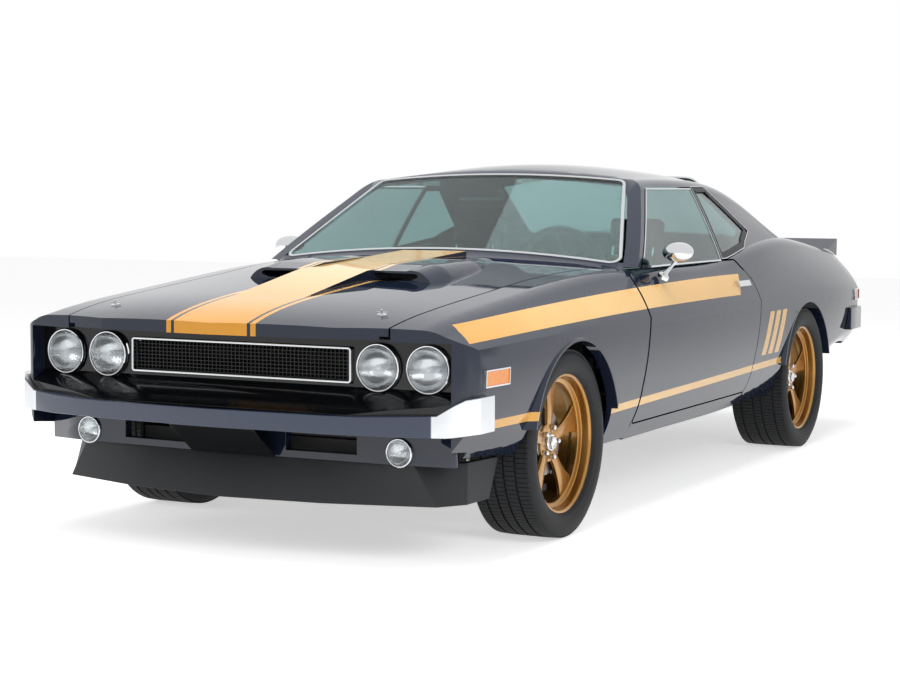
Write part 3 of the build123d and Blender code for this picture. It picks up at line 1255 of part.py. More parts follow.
# Door mirrors and handles.
MIRROR_POD_RADIUS = 55.0
MIRROR_POD_LENGTH = 150.0
POD_X = 925.0
POD_Y = -400.0
POD_Z = 1008.0
POD_FOOT_X = 868.0
def door_mirror(side):
    """A bullet-shaped mirror on a leaning foot, standing on the door's top."""
    foot = (side * (POD_FOOT_X - POD_X), 0, door_top_z - OVERRUN - POD_Z)
    with BuildPart() as pod:
        with BuildSketch(Plane.XY):
            with BuildLine():
                Line((0, 0), (MIRROR_POD_RADIUS, 0))
                ThreePointArc((MIRROR_POD_RADIUS, 0),
                              (MIRROR_POD_RADIUS * 0.72, -MIRROR_POD_LENGTH * 0.62),
                              (0, -MIRROR_POD_LENGTH))
                Line((0, -MIRROR_POD_LENGTH), (0, 0))
            make_face()
        revolve(axis=Axis.Y, revolution_arc=360)
        with BuildSketch(Plane(origin=(0, -MIRROR_POD_LENGTH / 3, 0), x_dir=(0, 1, 0),
                               z_dir=foot)):
            Ellipse(MIRROR_POD_RADIUS / 2, MIRROR_POD_RADIUS / 4)
        extrude(amount=math.dist(foot, (0, 0, 0)))
    placed = (Pos(side * POD_X, POD_Y, POD_Z) * pod.part) - seat_body
    return placed.solids().sort_by(Axis.Z)[-1]


for name, side in (("mirror_left", 1), ("mirror_right", -1)):
    with BuildPart() as mirror_pod:
        add(door_mirror(side))
    save(mirror_pod, name)
HANDLE_LENGTH = 150.0
HANDLE_HEIGHT = 24.0
HANDLE_OUT = 18.0
handle_y = along(0.082)
handle_z = up(0.615)
with BuildPart() as handle_left:
    add(box_between((across(0.9), handle_y - HANDLE_LENGTH / 2, handle_z - HANDLE_HEIGHT / 2),
                    (wide, handle_y + HANDLE_LENGTH / 2, handle_z + HANDLE_HEIGHT / 2))
        & body_loft(-HANDLE_OUT, 0))
    add(seat_body, mode=Mode.SUBTRACT)
save(handle_left, "handle_left")
with BuildPart() as handle_right:
    add(across_car(handle_left.part))
save(handle_right, "handle_right")
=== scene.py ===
import json
import math

import bmesh
import bpy
from mathutils import Matrix, Vector

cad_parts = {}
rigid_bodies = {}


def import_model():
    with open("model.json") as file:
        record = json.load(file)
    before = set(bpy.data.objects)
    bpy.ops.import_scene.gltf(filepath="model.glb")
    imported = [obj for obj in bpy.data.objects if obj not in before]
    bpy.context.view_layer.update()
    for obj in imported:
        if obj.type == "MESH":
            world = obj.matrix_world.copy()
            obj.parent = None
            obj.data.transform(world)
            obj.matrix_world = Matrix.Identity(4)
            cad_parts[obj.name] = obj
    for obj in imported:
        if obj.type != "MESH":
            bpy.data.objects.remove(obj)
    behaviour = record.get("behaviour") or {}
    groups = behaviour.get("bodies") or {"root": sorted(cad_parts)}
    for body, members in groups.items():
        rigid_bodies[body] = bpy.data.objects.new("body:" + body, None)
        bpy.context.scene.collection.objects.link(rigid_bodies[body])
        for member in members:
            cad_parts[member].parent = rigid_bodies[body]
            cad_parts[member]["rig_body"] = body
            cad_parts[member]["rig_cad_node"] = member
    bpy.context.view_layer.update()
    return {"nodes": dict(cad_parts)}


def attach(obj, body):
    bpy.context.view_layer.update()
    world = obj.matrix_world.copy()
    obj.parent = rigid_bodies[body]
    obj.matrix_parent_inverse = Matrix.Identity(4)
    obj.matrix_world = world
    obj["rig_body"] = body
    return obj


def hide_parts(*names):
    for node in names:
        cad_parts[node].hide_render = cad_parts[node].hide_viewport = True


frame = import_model()

MM = 0.001
ALONG_X = (1, 0, 0)
ALONG_Y = (0, 1, 0)

# The photograph's own viewpoint.
CAMERA_PLACE = (3.593, -7.584, 1.234)
CAMERA_TURN = math.radians(27.594)
CAMERA_PITCH = math.radians(4.235)
CAMERA_ROLL = math.radians(0.214)
FOCAL_PIXELS = 1876.09
IMAGE_WIDTH = 900
IMAGE_CENTRE = (450.0, 337.5)
LENS_CENTRE = (444.63, 331.88)
SENSOR = 36.0


def place_camera():
    """Sets the camera by its place, its turn round Z, its pitch down and its roll."""
    back = Vector((math.sin(CAMERA_TURN) * math.cos(CAMERA_PITCH),
                   -math.cos(CAMERA_TURN) * math.cos(CAMERA_PITCH), math.sin(CAMERA_PITCH)))
    right = Vector((math.cos(CAMERA_TURN), math.sin(CAMERA_TURN), 0))
    up = back.cross(right)
    rolled_right = math.cos(CAMERA_ROLL) * right + math.sin(CAMERA_ROLL) * up
    rolled_up = -math.sin(CAMERA_ROLL) * right + math.cos(CAMERA_ROLL) * up
    camera = bpy.data.objects.new("camera", bpy.data.cameras.new("camera"))
    bpy.context.scene.collection.objects.link(camera)
    camera.matrix_world = Matrix((
        (rolled_right.x, rolled_up.x, back.x, CAMERA_PLACE[0]),
        (rolled_right.y, rolled_up.y, back.y, CAMERA_PLACE[1]),
        (rolled_right.z, rolled_up.z, back.z, CAMERA_PLACE[2]),
        (0, 0, 0, 1)))
    lens = camera.data
    lens.sensor_width = SENSOR
    lens.lens = FOCAL_PIXELS * SENSOR / IMAGE_WIDTH
    lens.shift_x = (IMAGE_CENTRE[0] - LENS_CENTRE[0]) / IMAGE_WIDTH
    lens.shift_y = (LENS_CENTRE[1] - IMAGE_CENTRE[1]) / IMAGE_WIDTH
    lens.clip_end = 200.0
    bpy.context.scene.camera = camera


def linear(code):
    """The linear colour of an sRGB hex value."""
    parts = [int(code[i:i + 2], 16) / 255 for i in (1, 3, 5)]
    return [c / 12.92 if c <= 0.04045 else ((c + 0.055) / 1.055) ** 2.4 for c in parts] + [1.0]


def add_node(tree, kind, settings=None, *values, **inputs):
    """Adds a shader node, sets its settings, and sets or links its inputs: the first ones in
    their order, others by name, or by number after an i. A node given stands for its first
    output."""
    node = tree.nodes.new("ShaderNode" + kind)
    for key, value in (settings or {}).items():
        setattr(node, key, value)
    named = [(int(key[1:]) if key[1:].isdigit() else key.replace("_", " "), value)
             for key, value in inputs.items()]
    for key, value in [*enumerate(values), *named]:
        if isinstance(value, bpy.types.Node):
            value = value.outputs[0]
        if isinstance(value, bpy.types.NodeSocket):
            tree.links.new(value, node.inputs[key])
        else:
            node.inputs[key].default_value = value
    return node


def new_material(name, **values):
    """A material with one Principled shader, its constants set on the sockets."""
    material = bpy.data.materials.new(name)
    material.use_nodes = True
    shader = material.node_tree.nodes["Principled BSDF"]
    for key, value in values.items():
        shader.inputs[key.replace("_", " ")].default_value = value
    return material, material.node_tree, shader


def own_place(tree):
    """The three parts of a place on the piece itself."""
    place = add_node(tree, "TexCoord").outputs["Object"]
    return add_node(tree, "SeparateXYZ", None, place).outputs


def spots(tree, size, texture="TexNoise", **inputs):
    """A texture on the piece's own coordinates whose spots are about that many metres across."""
    place = add_node(tree, "TexCoord").outputs["Object"]
    return add_node(tree, texture, None, Vector=place, Scale=1 / size, **inputs).outputs[0]


def shade_between(tree, factor, dark, light, low=0.0, high=1.0):
    """A colour that runs from dark to light as the factor goes from low to high."""
    ramp = add_node(tree, "ValToRGB", None, factor)
    for element, place, code in zip(ramp.color_ramp.elements, (low, high), (dark, light)):
        element.position = place
        element.color = linear(code)
    return ramp.outputs["Color"]


def surface(name, pattern, dark, light, rough=(), relief=(), ramp=(0.0, 1.0), detail=None,
            **values):
    """A material in two close colours, in spots of a pattern (size in metres, texture). Its
    roughness (low, high) and its relief (strength, depth) follow the same spots, or a pattern
    of their own that comes after the two numbers."""
    material, tree, shader = new_material(name, **values)
    factor = spots(tree, *pattern, **({"Detail": detail} if detail else {}))
    tree.links.new(shade_between(tree, factor, dark, light, *ramp), shader.inputs["Base Color"])
    if rough:
        spread = add_node(tree, "MapRange", None, To_Min=rough[0], To_Max=rough[1],
                          Value=spots(tree, *rough[2:]) if rough[2:] else factor)
        tree.links.new(spread.outputs["Result"], shader.inputs["Roughness"])
    if relief:
        bump = add_node(tree, "Bump", None, Strength=relief[0], Distance=relief[1],
                        Height=spots(tree, *relief[2:]) if relief[2:] else factor)
        tree.links.new(bump.outputs["Normal"], shader.inputs["Normal"])
    return material


# The lines of the gold stripes: heights as curves a + b y + c y y of the place along the car.
SIDE_STRIPE_LOW = (0.7925, -0.0005, -0.0085)
SIDE_STRIPE_HIGH = (0.8800, 0.0060, -0.0125)
SIDE_STRIPE_ALONG = (-2.235, 0.335)
SIDE_STRIPE_SLANT = 0.9
SILL_STRIPE_LOW = (0.4280, 0.0150, 0.0)
SILL_STRIPE_ALONG = (-1.30, 0.95)
SILL_STRIPE_DEPTH = 30 * MM
NOSE_STRIPE_LOW = 0.462
NOSE_STRIPE_ALONG = (-2.30, -1.60)
BUMPER_CHROME_FROM = 0.800
HOOD_STRIPE_HALF = 147 * MM
HOOD_LINE = (160 * MM, 180 * MM)
SLAT_COUNT = 3
SLAT_FIRST_Y = 0.640
SLAT_PITCH = 95 * MM
SLAT_WIDTH = 62 * MM
SLAT_LEAN = 0.42
SLAT_HEIGHT = (0.500, 0.697)
# Paint shows where a surface faces out or up by at least this share, on the flanks beyond
# this place across, and all over the rolled front lip ahead of this place along.
FACING_OUT = 0.30
FACING_UP = 0.25
FLANK_FROM = 0.68
LIP_AHEAD_OF = -2.0

ABSOLUTE, GREATER_THAN, LESS_THAN, MAXIMUM, MULTIPLY, MULTIPLY_ADD, SUBTRACT = (
    {"operation": operation} for operation in (
        "ABSOLUTE", "GREATER_THAN", "LESS_THAN", "MAXIMUM", "MULTIPLY", "MULTIPLY_ADD",
        "SUBTRACT"))
COLOUR_MIX = {"data_type": "RGBA"}


def both(tree, first, second):
    """1 where both masks are 1, else 0."""
    return add_node(tree, "Math", MULTIPLY, first, second)


def either(tree, *masks):
    """1 where any mask is 1, else 0."""
    total = masks[0]
    for mask in masks[1:]:
        total = add_node(tree, "Math", MAXIMUM, total, mask)
    return total


def inside(tree, value, low, high):
    """1 where the value lies between two bounds, else 0."""
    return both(tree, add_node(tree, "Math", GREATER_THAN, value, low),
                add_node(tree, "Math", LESS_THAN, value, high))


def height_along(tree, y, curve):
    a, b, c = curve
    slope = add_node(tree, "Math", MULTIPLY_ADD, y, c, b)
    return add_node(tree, "Math", MULTIPLY_ADD, y, slope, a)


def outward_normal(tree, axis):
    """One part of the direction in which the surface faces."""
    turned_to = add_node(tree, "TexCoord").outputs["Normal"]
    return add_node(tree, "SeparateXYZ", None, turned_to).outputs[axis]


def side_stripes(tree, x, y, z):
    """The broad stripe, the sill stripe, the nose piece and the three slats of each side."""
    low = height_along(tree, y, SIDE_STRIPE_LOW)
    above = add_node(tree, "Math", SUBTRACT, z, low)
    depth = add_node(tree, "Math", SUBTRACT, height_along(tree, y, SIDE_STRIPE_HIGH), low)
    leaning_y = add_node(tree, "Math", MULTIPLY_ADD, above, -SIDE_STRIPE_SLANT, y)
    broad = both(tree, inside(tree, above, 0.0, depth),
                 inside(tree, leaning_y, *SIDE_STRIPE_ALONG))
    over_sill = add_node(tree, "Math", SUBTRACT, z, height_along(tree, y, SILL_STRIPE_LOW))
    sill = both(tree, inside(tree, over_sill, 0.0, SILL_STRIPE_DEPTH),
                inside(tree, y, *SILL_STRIPE_ALONG))
    nose = both(tree, inside(tree, z, NOSE_STRIPE_LOW, NOSE_STRIPE_LOW + SILL_STRIPE_DEPTH),
                inside(tree, y, *NOSE_STRIPE_ALONG))
    over_foot = add_node(tree, "Math", SUBTRACT, z, SLAT_HEIGHT[0])
    leaned = add_node(tree, "Math", MULTIPLY_ADD, over_foot, -SLAT_LEAN, y)
    starts = [SLAT_FIRST_Y + k * SLAT_PITCH for k in range(SLAT_COUNT)]
    slats = [inside(tree, leaned, start, start + SLAT_WIDTH) for start in starts]
    slatted = both(tree, either(tree, *slats), inside(tree, z, *SLAT_HEIGHT))
    across = add_node(tree, "Math", ABSOLUTE, x)
    faces = add_node(tree, "Math", MULTIPLY, outward_normal(tree, "X"), x)
    flank = both(tree, add_node(tree, "Math", GREATER_THAN, across, FLANK_FROM),
                 add_node(tree, "Math", GREATER_THAN, faces, FACING_OUT))
    return both(tree, flank, either(tree, broad, sill, nose, slatted))


def hood_stripes(tree, x, y, z):
    """The broad stripe down the middle of the hood with a thin one at each side."""
    across = add_node(tree, "Math", ABSOLUTE, x)
    upward = either(
        tree, add_node(tree, "Math", GREATER_THAN, outward_normal(tree, "Z"), FACING_UP),
        add_node(tree, "Math", LESS_THAN, y, LIP_AHEAD_OF))
    return both(tree, upward, either(
        tree, add_node(tree, "Math", LESS_THAN, across, HOOD_STRIPE_HALF),
        inside(tree, across, *HOOD_LINE)))


# flake is about 0.05 mm; drawn at 1.2 mm so that it shows
FLAKE_SIZE = 1.2 * MM
FLAKE_RAMP = (0.35, 0.75)


def body_enamel(name, stripes=None):
    """Sprayed metallic enamel under clear lacquer: a dark navy that shows fine bright flake
    close to and a slight unevenness of the gloss, with gold stripes laid under the lacquer."""
    material, tree, shader = new_material(name, Metallic=0.0, Specular_IOR_Level=0.0,
                                          Coat_Weight=1.0, Coat_Roughness=0.03,
                                          Coat_IOR=1.5)
    flake = spots(tree, FLAKE_SIZE)
    colour = shade_between(tree, flake, "#141b2b", "#242e42", *FLAKE_RAMP)
    if stripes:
        x, y, z = own_place(tree)
        cloud = spots(tree, 0.6)
        gold_front = shade_between(tree, cloud, "#d9931f", "#e0a037", 0.3, 0.7)
        gold_rear = shade_between(tree, cloud, "#e6b463", "#efc27a", 0.3, 0.7)
        back = add_node(tree, "MapRange", None, Value=y, From_Min=-2.3, From_Max=-1.7)
        gold = add_node(tree, "Mix", COLOUR_MIX, back, i6=gold_front, i7=gold_rear)
        colour = add_node(tree, "Mix", COLOUR_MIX, stripes(tree, x, y, z), i6=colour,
                          i7=gold.outputs[2]).outputs[2]
    tree.links.new(colour, shader.inputs["Base Color"])
    spread = add_node(tree, "MapRange", None, Value=flake, To_Min=0.28, To_Max=0.40)
    tree.links.new(spread.outputs["Result"], shader.inputs["Roughness"])
    return material


def bumper_enamel(name):
    """Chromed steel sprayed navy across the front, left bright at its wrapped ends."""
    material, tree, shader = new_material(name, Coat_Weight=0.5, Coat_Roughness=0.03)
    across = add_node(tree, "Math", ABSOLUTE, own_place(tree)[0])
    bright = add_node(tree, "MapRange", None, Value=across, From_Min=BUMPER_CHROME_FROM,
                      From_Max=BUMPER_CHROME_FROM + 4 * MM).outputs["Result"]
    navy = shade_between(tree, spots(tree, FLAKE_SIZE), "#1d2a42", "#26344f", *FLAKE_RAMP)
    steel = shade_between(tree, spots(tree, 40 * MM), "#c9ccd0", "#d8dadc")
    colour = add_node(tree, "Mix", COLOUR_MIX, bright, i6=navy, i7=steel)
    rough = add_node(tree, "MapRange", None, Value=bright, To_Min=0.25, To_Max=0.06)
    tree.links.new(colour.outputs[2], shader.inputs["Base Color"])
    tree.links.new(bright, shader.inputs["Metallic"])
    tree.links.new(rough.outputs["Result"], shader.inputs["Roughness"])
    return material


def fluted_glass(name):
    """Pressed lamp lens with upright flutes of about 5 mm, slightly uneven."""
    material, tree, shader = new_material(name, IOR=1.47, Roughness=0.02,
                                          Transmission_Weight=1.0,
                                          Base_Color=linear("#f4f7f8"))
    place = add_node(tree, "TexCoord").outputs["Object"]
    flutes = add_node(tree, "TexWave", {"bands_direction": "X"}, Vector=place, Scale=62.0,
                      Distortion=0.6)
    bump = add_node(tree, "Bump", None, Height=flutes.outputs["Fac"], Strength=0.5,
                    Distance=0.8 * MM)
    tree.links.new(bump.outputs["Normal"], shader.inputs["Normal"])
    return material


def marker_acrylic(name):
    """Moulded marker lenses: amber ahead of the car's middle, red behind it."""
    material, tree, shader = new_material(name, Coat_Weight=0.6, Roughness=0.15, IOR=1.49)
    mottle = spots(tree, 14 * MM)
    amber = shade_between(tree, mottle, "#e0780c", "#f39a1e")
    red = shade_between(tree, mottle, "#8d1116", "#b3202a")
    behind = add_node(tree, "Math", GREATER_THAN, own_place(tree)[1], 0.0)
    tint = add_node(tree, "Mix", COLOUR_MIX, behind, i6=amber, i7=red)
    tree.links.new(tint.outputs[2], shader.inputs["Base Color"])
    return material


def make_finishes():
    made = {
        "side_enamel": body_enamel("navy_metallic_enamel_side", side_stripes),
        "hood_enamel": body_enamel("navy_metallic_enamel_hood", hood_stripes),
        "enamel": body_enamel("navy_metallic_enamel"),
        "bumper_enamel": bumper_enamel("navy_bumper_with_chromed_ends"),
        # Chromed steel: hard mirror with faint polishing haze.
        "chrome": surface("chromed_steel", (40 * MM,), "#d4d6d8", "#d4d6d8", (0.03, 0.09),
                          Metallic=1.0),
        # Toughened glass, tinted blue-green through its thickness.
        "glass": surface("tinted_safety_glass", (0.5,), "#98b8b8", "#a6c4c3", Roughness=0.0,
                         IOR=1.45, Specular_IOR_Level=0.2, Transmission_Weight=1.0),
        # Clear pressed lamp glass.
        "lamp_glass": surface("pressed_lamp_glass", (30 * MM,), "#e4e9ec", "#f2f5f6",
                              (0.02, 0.08, 12 * MM), IOR=1.47, Transmission_Weight=0.9),
        "fluted_glass": fluted_glass("fluted_lamp_glass"),
        # Vacuum-silvered lamp bowl, duller toward its rim.
        "lamp_silver": surface("silvered_lamp_bowl", (25 * MM,), "#b9bcbf", "#dfe1e2",
                               (0.08, 0.22, 18 * MM), Metallic=1.0),
        "marker_acrylic": marker_acrylic("amber_and_red_marker_acrylic"),
        # Seat vinyl: fine leather grain, worn duller where it is sat on.
        "seat_vinyl": surface("stitched_seat_vinyl", (90 * MM,), "#17181a", "#232427",
                              (0.42, 0.60), (0.3, 0.3 * MM, 3 * MM, "TexVoronoi"), (0.3, 0.7),
                              3.0, Specular_IOR_Level=0.4),
        # Tyre rubber: dark grey-black, dusty where it flexes.
        "rubber": surface("tyre_rubber", (25 * MM,), "#17181a", "#2a2b2d", (0.55, 0.8),
                          (0.15, 0.2 * MM, 1.5 * MM), (0.35, 0.8), 6.0,
                          Specular_IOR_Level=0.35),
        # Cast and turned aluminium wheels under bronze-gold lacquer.
        "bronze": surface("bronze_lacquered_alloy", (3 * MM,), "#9a6f34", "#c08f48",
                          (0.24, 0.36), (), (0.2, 0.85), Metallic=0.9, Coat_Weight=0.5,
                          Coat_Roughness=0.08)}

    # Amber and red moulded acrylic lenses.
    for name, dark, light in (("amber_acrylic", "#c8690a", "#e8912a"),
                              ("red_acrylic", "#7d0b10", "#a8151b")):
        made[name] = surface(name, (14 * MM,), dark, light, Coat_Weight=0.6, Roughness=0.15,
                             IOR=1.49)

    # Black enamel on pressed steel, glossy to matt: even, with a slight orange-peel.
    for name, dark, light, rough in (
            ("black_gloss_enamel", "#08090b", "#0e1013", (0.10, 0.18)),
            ("satin_black_enamel", "#08090a", "#101113", (0.38, 0.50)),
            ("chassis_black", "#17181a", "#26272a", (0.55, 0.75))):
        made[name] = surface(name, (3 * MM,), dark, light, rough, (0.08, 0.2 * MM))

    # Moulded black polyurethane and vinyl, grained.
    for name, dark, light, size in (("moulded_black_urethane", "#161719", "#222427", 2.5 * MM),
                                    ("grained_black_vinyl", "#131416", "#1f2023", 4 * MM)):
        made[name] = surface(name, (size, "TexVoronoi"), dark, light, (0.45, 0.65),
                             (0.25, 0.3 * MM))

    # Machined and cast metals under the car.
    for name, dark, light, rough in (
            ("cast_iron", "#2b2a29", "#474442", (0.55, 0.8)),
            ("turned_steel", "#7d7f82", "#9da0a3", (0.22, 0.38)),
            ("cast_aluminium", "#8f9193", "#b3b5b6", (0.35, 0.5)),
            ("aluminised_pipe", "#8a8b8c", "#a5a6a6", (0.35, 0.5))):
        made[name] = surface(name, (8 * MM,), dark, light, rough, (0.15, 0.3 * MM), detail=5.0,
                             Metallic=1.0)
    return made


finish = make_finishes()


def coat(piece, name):
    piece.data.materials.clear()
    piece.data.materials.append(finish[name])


def choose(piece):
    """Makes one piece the only one selected and active."""
    bpy.ops.object.select_all(action="DESELECT")
    piece.select_set(True)
    bpy.context.view_layer.objects.active = piece


def end_edit():
    bpy.ops.object.mode_set(mode="OBJECT")


def again(piece, name):
    """A copy with its own mesh."""
    copy = piece.copy()
    copy.data = piece.data.copy()
    copy.name = name
    copy.data.name = name
    bpy.context.scene.collection.objects.link(copy)
    return copy


def merged_copy(node, name):
    """A copy of a CAD node with its own mesh, the loose triangles merged."""
    piece = again(frame["nodes"][node], name)
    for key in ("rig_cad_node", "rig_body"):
        if key in piece:
            del piece[key]
    piece.parent = None
    piece.hide_viewport = piece.hide_render = False
    piece.hide_set(False)
    choose(piece)
    bpy.ops.mesh.customdata_custom_splitnormals_clear()
    bpy.ops.object.mode_set(mode="EDIT")
    bpy.ops.mesh.select_all(action="SELECT")
    bpy.ops.mesh.remove_doubles(threshold=0.05 * MM)
    end_edit()
    return piece


def smooth(piece):
    """Shades a piece smooth except across its real edges."""
    choose(piece)
    bpy.ops.object.shade_smooth_by_angle(angle=math.radians(32))


def finish_piece(piece, finish_name, body, replaces=()):
    """Settles, shades and coats a piece, and hands it to its body and for its CAD nodes."""
    settle(piece)
    smooth(piece)
    coat(piece, finish_name)
    if replaces:
        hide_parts(*replaces)
    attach(piece, body)
    return piece


def smooth_panel(node, body, name, finish_name):
    """A merged, smooth-shaded copy of a rigid CAD node, which it replaces."""
    piece = merged_copy(node, name)
    smooth(piece)
    coat(piece, finish_name)
    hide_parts(node)
    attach(piece, body)
    return piece


def add_primitive(kind, name, **settings):
    bpy.ops.object.select_all(action="DESELECT")
    getattr(bpy.ops.mesh, f"primitive_{kind}_add")(**settings)
    piece = bpy.context.object
    piece.name = name
    piece.data.name = name
    return piece


def settle(piece):
    """Puts a piece's place into its mesh."""
    choose(piece)
    bpy.ops.object.transform_apply(location=True, rotation=True, scale=True)
    return piece


def block(name, size, centre):
    """A settled block of a size about a centre."""
    piece = add_primitive("cube", name, size=1.0, location=centre)
    piece.scale = size
    return settle(piece)


def edit(piece):
    choose(piece)
    bpy.ops.object.mode_set(mode="EDIT")
    bpy.ops.mesh.select_mode(type="VERT")
    bpy.ops.mesh.select_all(action="SELECT")


def draw_line(name, points):
    """A line of edges through the points, left in edit mode: one vertex, extruded on."""
    piece = add_primitive("plane", name, size=MM, location=points[0])
    edit(piece)
    bpy.ops.mesh.merge(type="CENTER")
    for a, b in zip(points, points[1:]):
        bpy.ops.mesh.extrude_region_move(
            TRANSFORM_OT_translate={"value": Vector(b) - Vector(a)})
    bpy.ops.mesh.select_all(action="SELECT")
    return piece


def close_mesh(piece):
    """Merges doubles and turns the faces outwards; ends edit mode."""
    bpy.ops.mesh.select_all(action="SELECT")
    bpy.ops.mesh.remove_doubles(threshold=0.01 * MM)
    bpy.ops.mesh.normals_make_consistent(inside=False)
    end_edit()
    return settle(piece)


def lathe(name, profile, centre, axis, steps=96):
    """A profile of (along, out) pairs spun about an axis through the centre."""
    axis = Vector(axis).normalized()
    side = axis.orthogonal().normalized()
    start = Vector(centre)
    piece = draw_line(name, [start + axis * a + side * r for a, r in profile])
    bpy.ops.mesh.spin(steps=steps, angle=2 * math.pi, center=start, axis=axis)
    return close_mesh(piece)


def in_mm(profile):
    """A profile of pairs in millimetres, in metres."""
    return [(a * MM, r * MM) for a, r in profile]


def pick_faces(piece, test):
    """Selects the faces whose centre and normal pass the test, in edit mode."""
    bpy.ops.mesh.select_mode(type="FACE")
    mesh = bmesh.from_edit_mesh(piece.data)
    for face in mesh.faces:
        face.select_set(bool(test(face.calc_center_median(), face.normal)))
    bmesh.update_edit_mesh(piece.data)


def dish(piece, test, *steps):
    """Insets the picked faces and shifts what is inside, for each (border, shift)."""
    edit(piece)
    pick_faces(piece, test)
    for border, shift in steps:
        bpy.ops.mesh.inset(thickness=border)
        bpy.ops.transform.translate(value=shift)
    end_edit()


def add_modifier(piece, kind, **settings):
    modifier = piece.modifiers.new(kind.lower(), kind)
    for key, value in settings.items():
        setattr(modifier, key, value)
    choose(piece)
    bpy.ops.object.modifier_apply(modifier=modifier.name)


def round_edges(piece, width, segments=2, angle=30):
    add_modifier(piece, "BEVEL", width=width, segments=segments, limit_method="ANGLE",
                 angle_limit=math.radians(angle), harden_normals=False)


def in_row(piece, count, step):
    """Repeats a piece along a step."""
    add_modifier(piece, "ARRAY", count=count, use_relative_offset=False,
                 use_constant_offset=True, constant_offset_displace=step)


def turned(piece, angle, axis, centre):
    """Turns a piece about a line through the centre, in its mesh."""
    centre = Vector(centre)
    piece.data.transform(Matrix.Translation(centre) @ Matrix.Rotation(angle, 4, Vector(axis))
                         @ Matrix.Translation(-centre))
    return piece


def mirrored(piece):
    """The same piece on the other side of the car, faces turned the right way."""
    copy = again(piece, piece.name.replace("left", "right"))
    copy.data.transform(Matrix.Scale(-1, 4, Vector(ALONG_X)))
    copy.data.flip_normals()
    return copy


def join(pieces, name):
    """One object of several; the first one's material stays first."""
    bpy.ops.object.select_all(action="DESELECT")
    for piece in pieces:
        piece.select_set(True)
    bpy.context.view_layer.objects.active = pieces[0]
    bpy.ops.object.join()
    pieces[0].name = name
    pieces[0].data.name = name
    return pieces[0]


def seen_directly(tree):
    """1 for a ray from the camera, a reflection or through glass, else 0."""
    path = add_node(tree, "LightPath").outputs
    return either(tree, path["Is Camera Ray"], path["Is Glossy Ray"],
                  path["Is Transmission Ray"])


def light_studio():
    """A pale floor, a white surround and three large soft lamps."""
    scene = bpy.context.scene
    scene.view_settings.view_transform = "Standard"
    world = bpy.data.worlds.new("studio")
    scene.world = world
    world.use_nodes = True
    tree = world.node_tree
    level = add_node(tree, "MapRange", None, Value=seen_directly(tree), To_Min=0.42,
                     To_Max=1.0)
    tree.links.new(level.outputs["Result"], tree.nodes["Background"].inputs["Strength"])
    tree.nodes["Background"].inputs["Color"].default_value = (1, 1, 1, 1)

    floor = add_primitive("plane", "studio_floor", size=40.0, location=(0, 0, 0))
    material = surface("pale_studio_floor", (2.0,), "#f1f1f2", "#f6f6f6", Roughness=0.9,
                       Specular_IOR_Level=0.1, Emission_Color=(1, 1, 1, 1))
    tree = material.node_tree
    glow = add_node(tree, "MapRange", None, Value=seen_directly(tree), To_Min=0.0, To_Max=0.55)
    tree.links.new(glow.outputs["Result"],
                   tree.nodes["Principled BSDF"].inputs["Emission Strength"])
    floor.data.materials.append(material)

    for name, place, turn, size, power in (
            ("lamp_overhead", (0.0, -0.5, 4.6), (0, 0, 0), (3.2, 6.0), 210),
            ("lamp_front_left", (5.2, -4.6, 3.4), (62, 0, 48), (3.0, 2.2), 150),
            ("lamp_front_right", (-4.8, -5.6, 2.8), (66, 0, -38), (2.6, 2.0), 90)):
        lamp = bpy.data.lights.new(name, "AREA")
        lamp.shape = "RECTANGLE"
        lamp.size, lamp.size_y = size
        lamp.energy = power
        holder = bpy.data.objects.new(name, lamp)
        bpy.context.scene.collection.objects.link(holder)
        holder.location = place
        holder.rotation_euler = [math.radians(a) for a in turn]
        holder.visible_glossy = False


light_studio()
place_camera()

# Pressed and plated pieces whose long edges are rolled over, and by how much.
EDGE_ROUNDING = {"front_bumper": 9 * MM, "rear_bumper": 12 * MM, "front_valance": 3 * MM,
                 "chin_spoiler": 3 * MM, "rear_spoiler": 3 * MM, "headlamp_panel": 2 * MM}


def soften(piece, width):
    """Joins the flat facets of a panel copy and rolls its sharp edges over."""
    edit(piece)
    bpy.ops.mesh.dissolve_limited(angle_limit=math.radians(0.3))
    end_edit()
    round_edges(piece, width, 3, 35)
    smooth(piece)


# Rigid CAD pieces whose shape is right: a smooth-shaded copy with its real finish.
for node, body, name, finish_name in (
        ("body_shell", "body", "body_side_and_roof", "side_enamel"),
        ("front_fenders", "body", "fender_panels", "side_enamel"),
        ("door_left", "door_left", "door_panel_left", "side_enamel"),
        ("door_right", "door_right", "door_panel_right", "side_enamel"),
        ("hood", "hood", "hood_panel", "hood_enamel"),
        ("deck_lid", "deck_lid", "deck_lid_panel", "enamel"),
        ("rear_spoiler", "deck_lid", "deck_spoiler", "enamel"),
        ("headlamp_panel", "body", "lamp_surround", "black_gloss_enamel"),
        ("front_bumper", "body", "front_bumper_bar", "bumper_enamel"),
        ("rear_bumper", "body", "rear_bumper_bar", "enamel"),
        ("front_valance", "body", "front_valance_panel", "enamel"),
        ("chin_spoiler", "body", "chin_splitter", "moulded_black_urethane"),
        ("windscreen", "body", "windscreen_glass", "glass"),
        ("rear_window", "body", "rear_window_glass", "glass"),
        ("quarter_windows", "body", "quarter_glass", "glass"),
        ("door_glass_left", "door_left", "door_glass_pane_left", "glass"),
        ("door_glass_right", "door_right", "door_glass_pane_right", "glass"),
        ("dashboard", "body", "dash_panel", "grained_black_vinyl"),
        ("steering_wheel", "steering_wheel", "steering_wheel_rim", "grained_black_vinyl")):
    panel = smooth_panel(node, body, name, finish_name)
    if node in EDGE_ROUNDING:
        soften(panel, EDGE_ROUNDING[node])

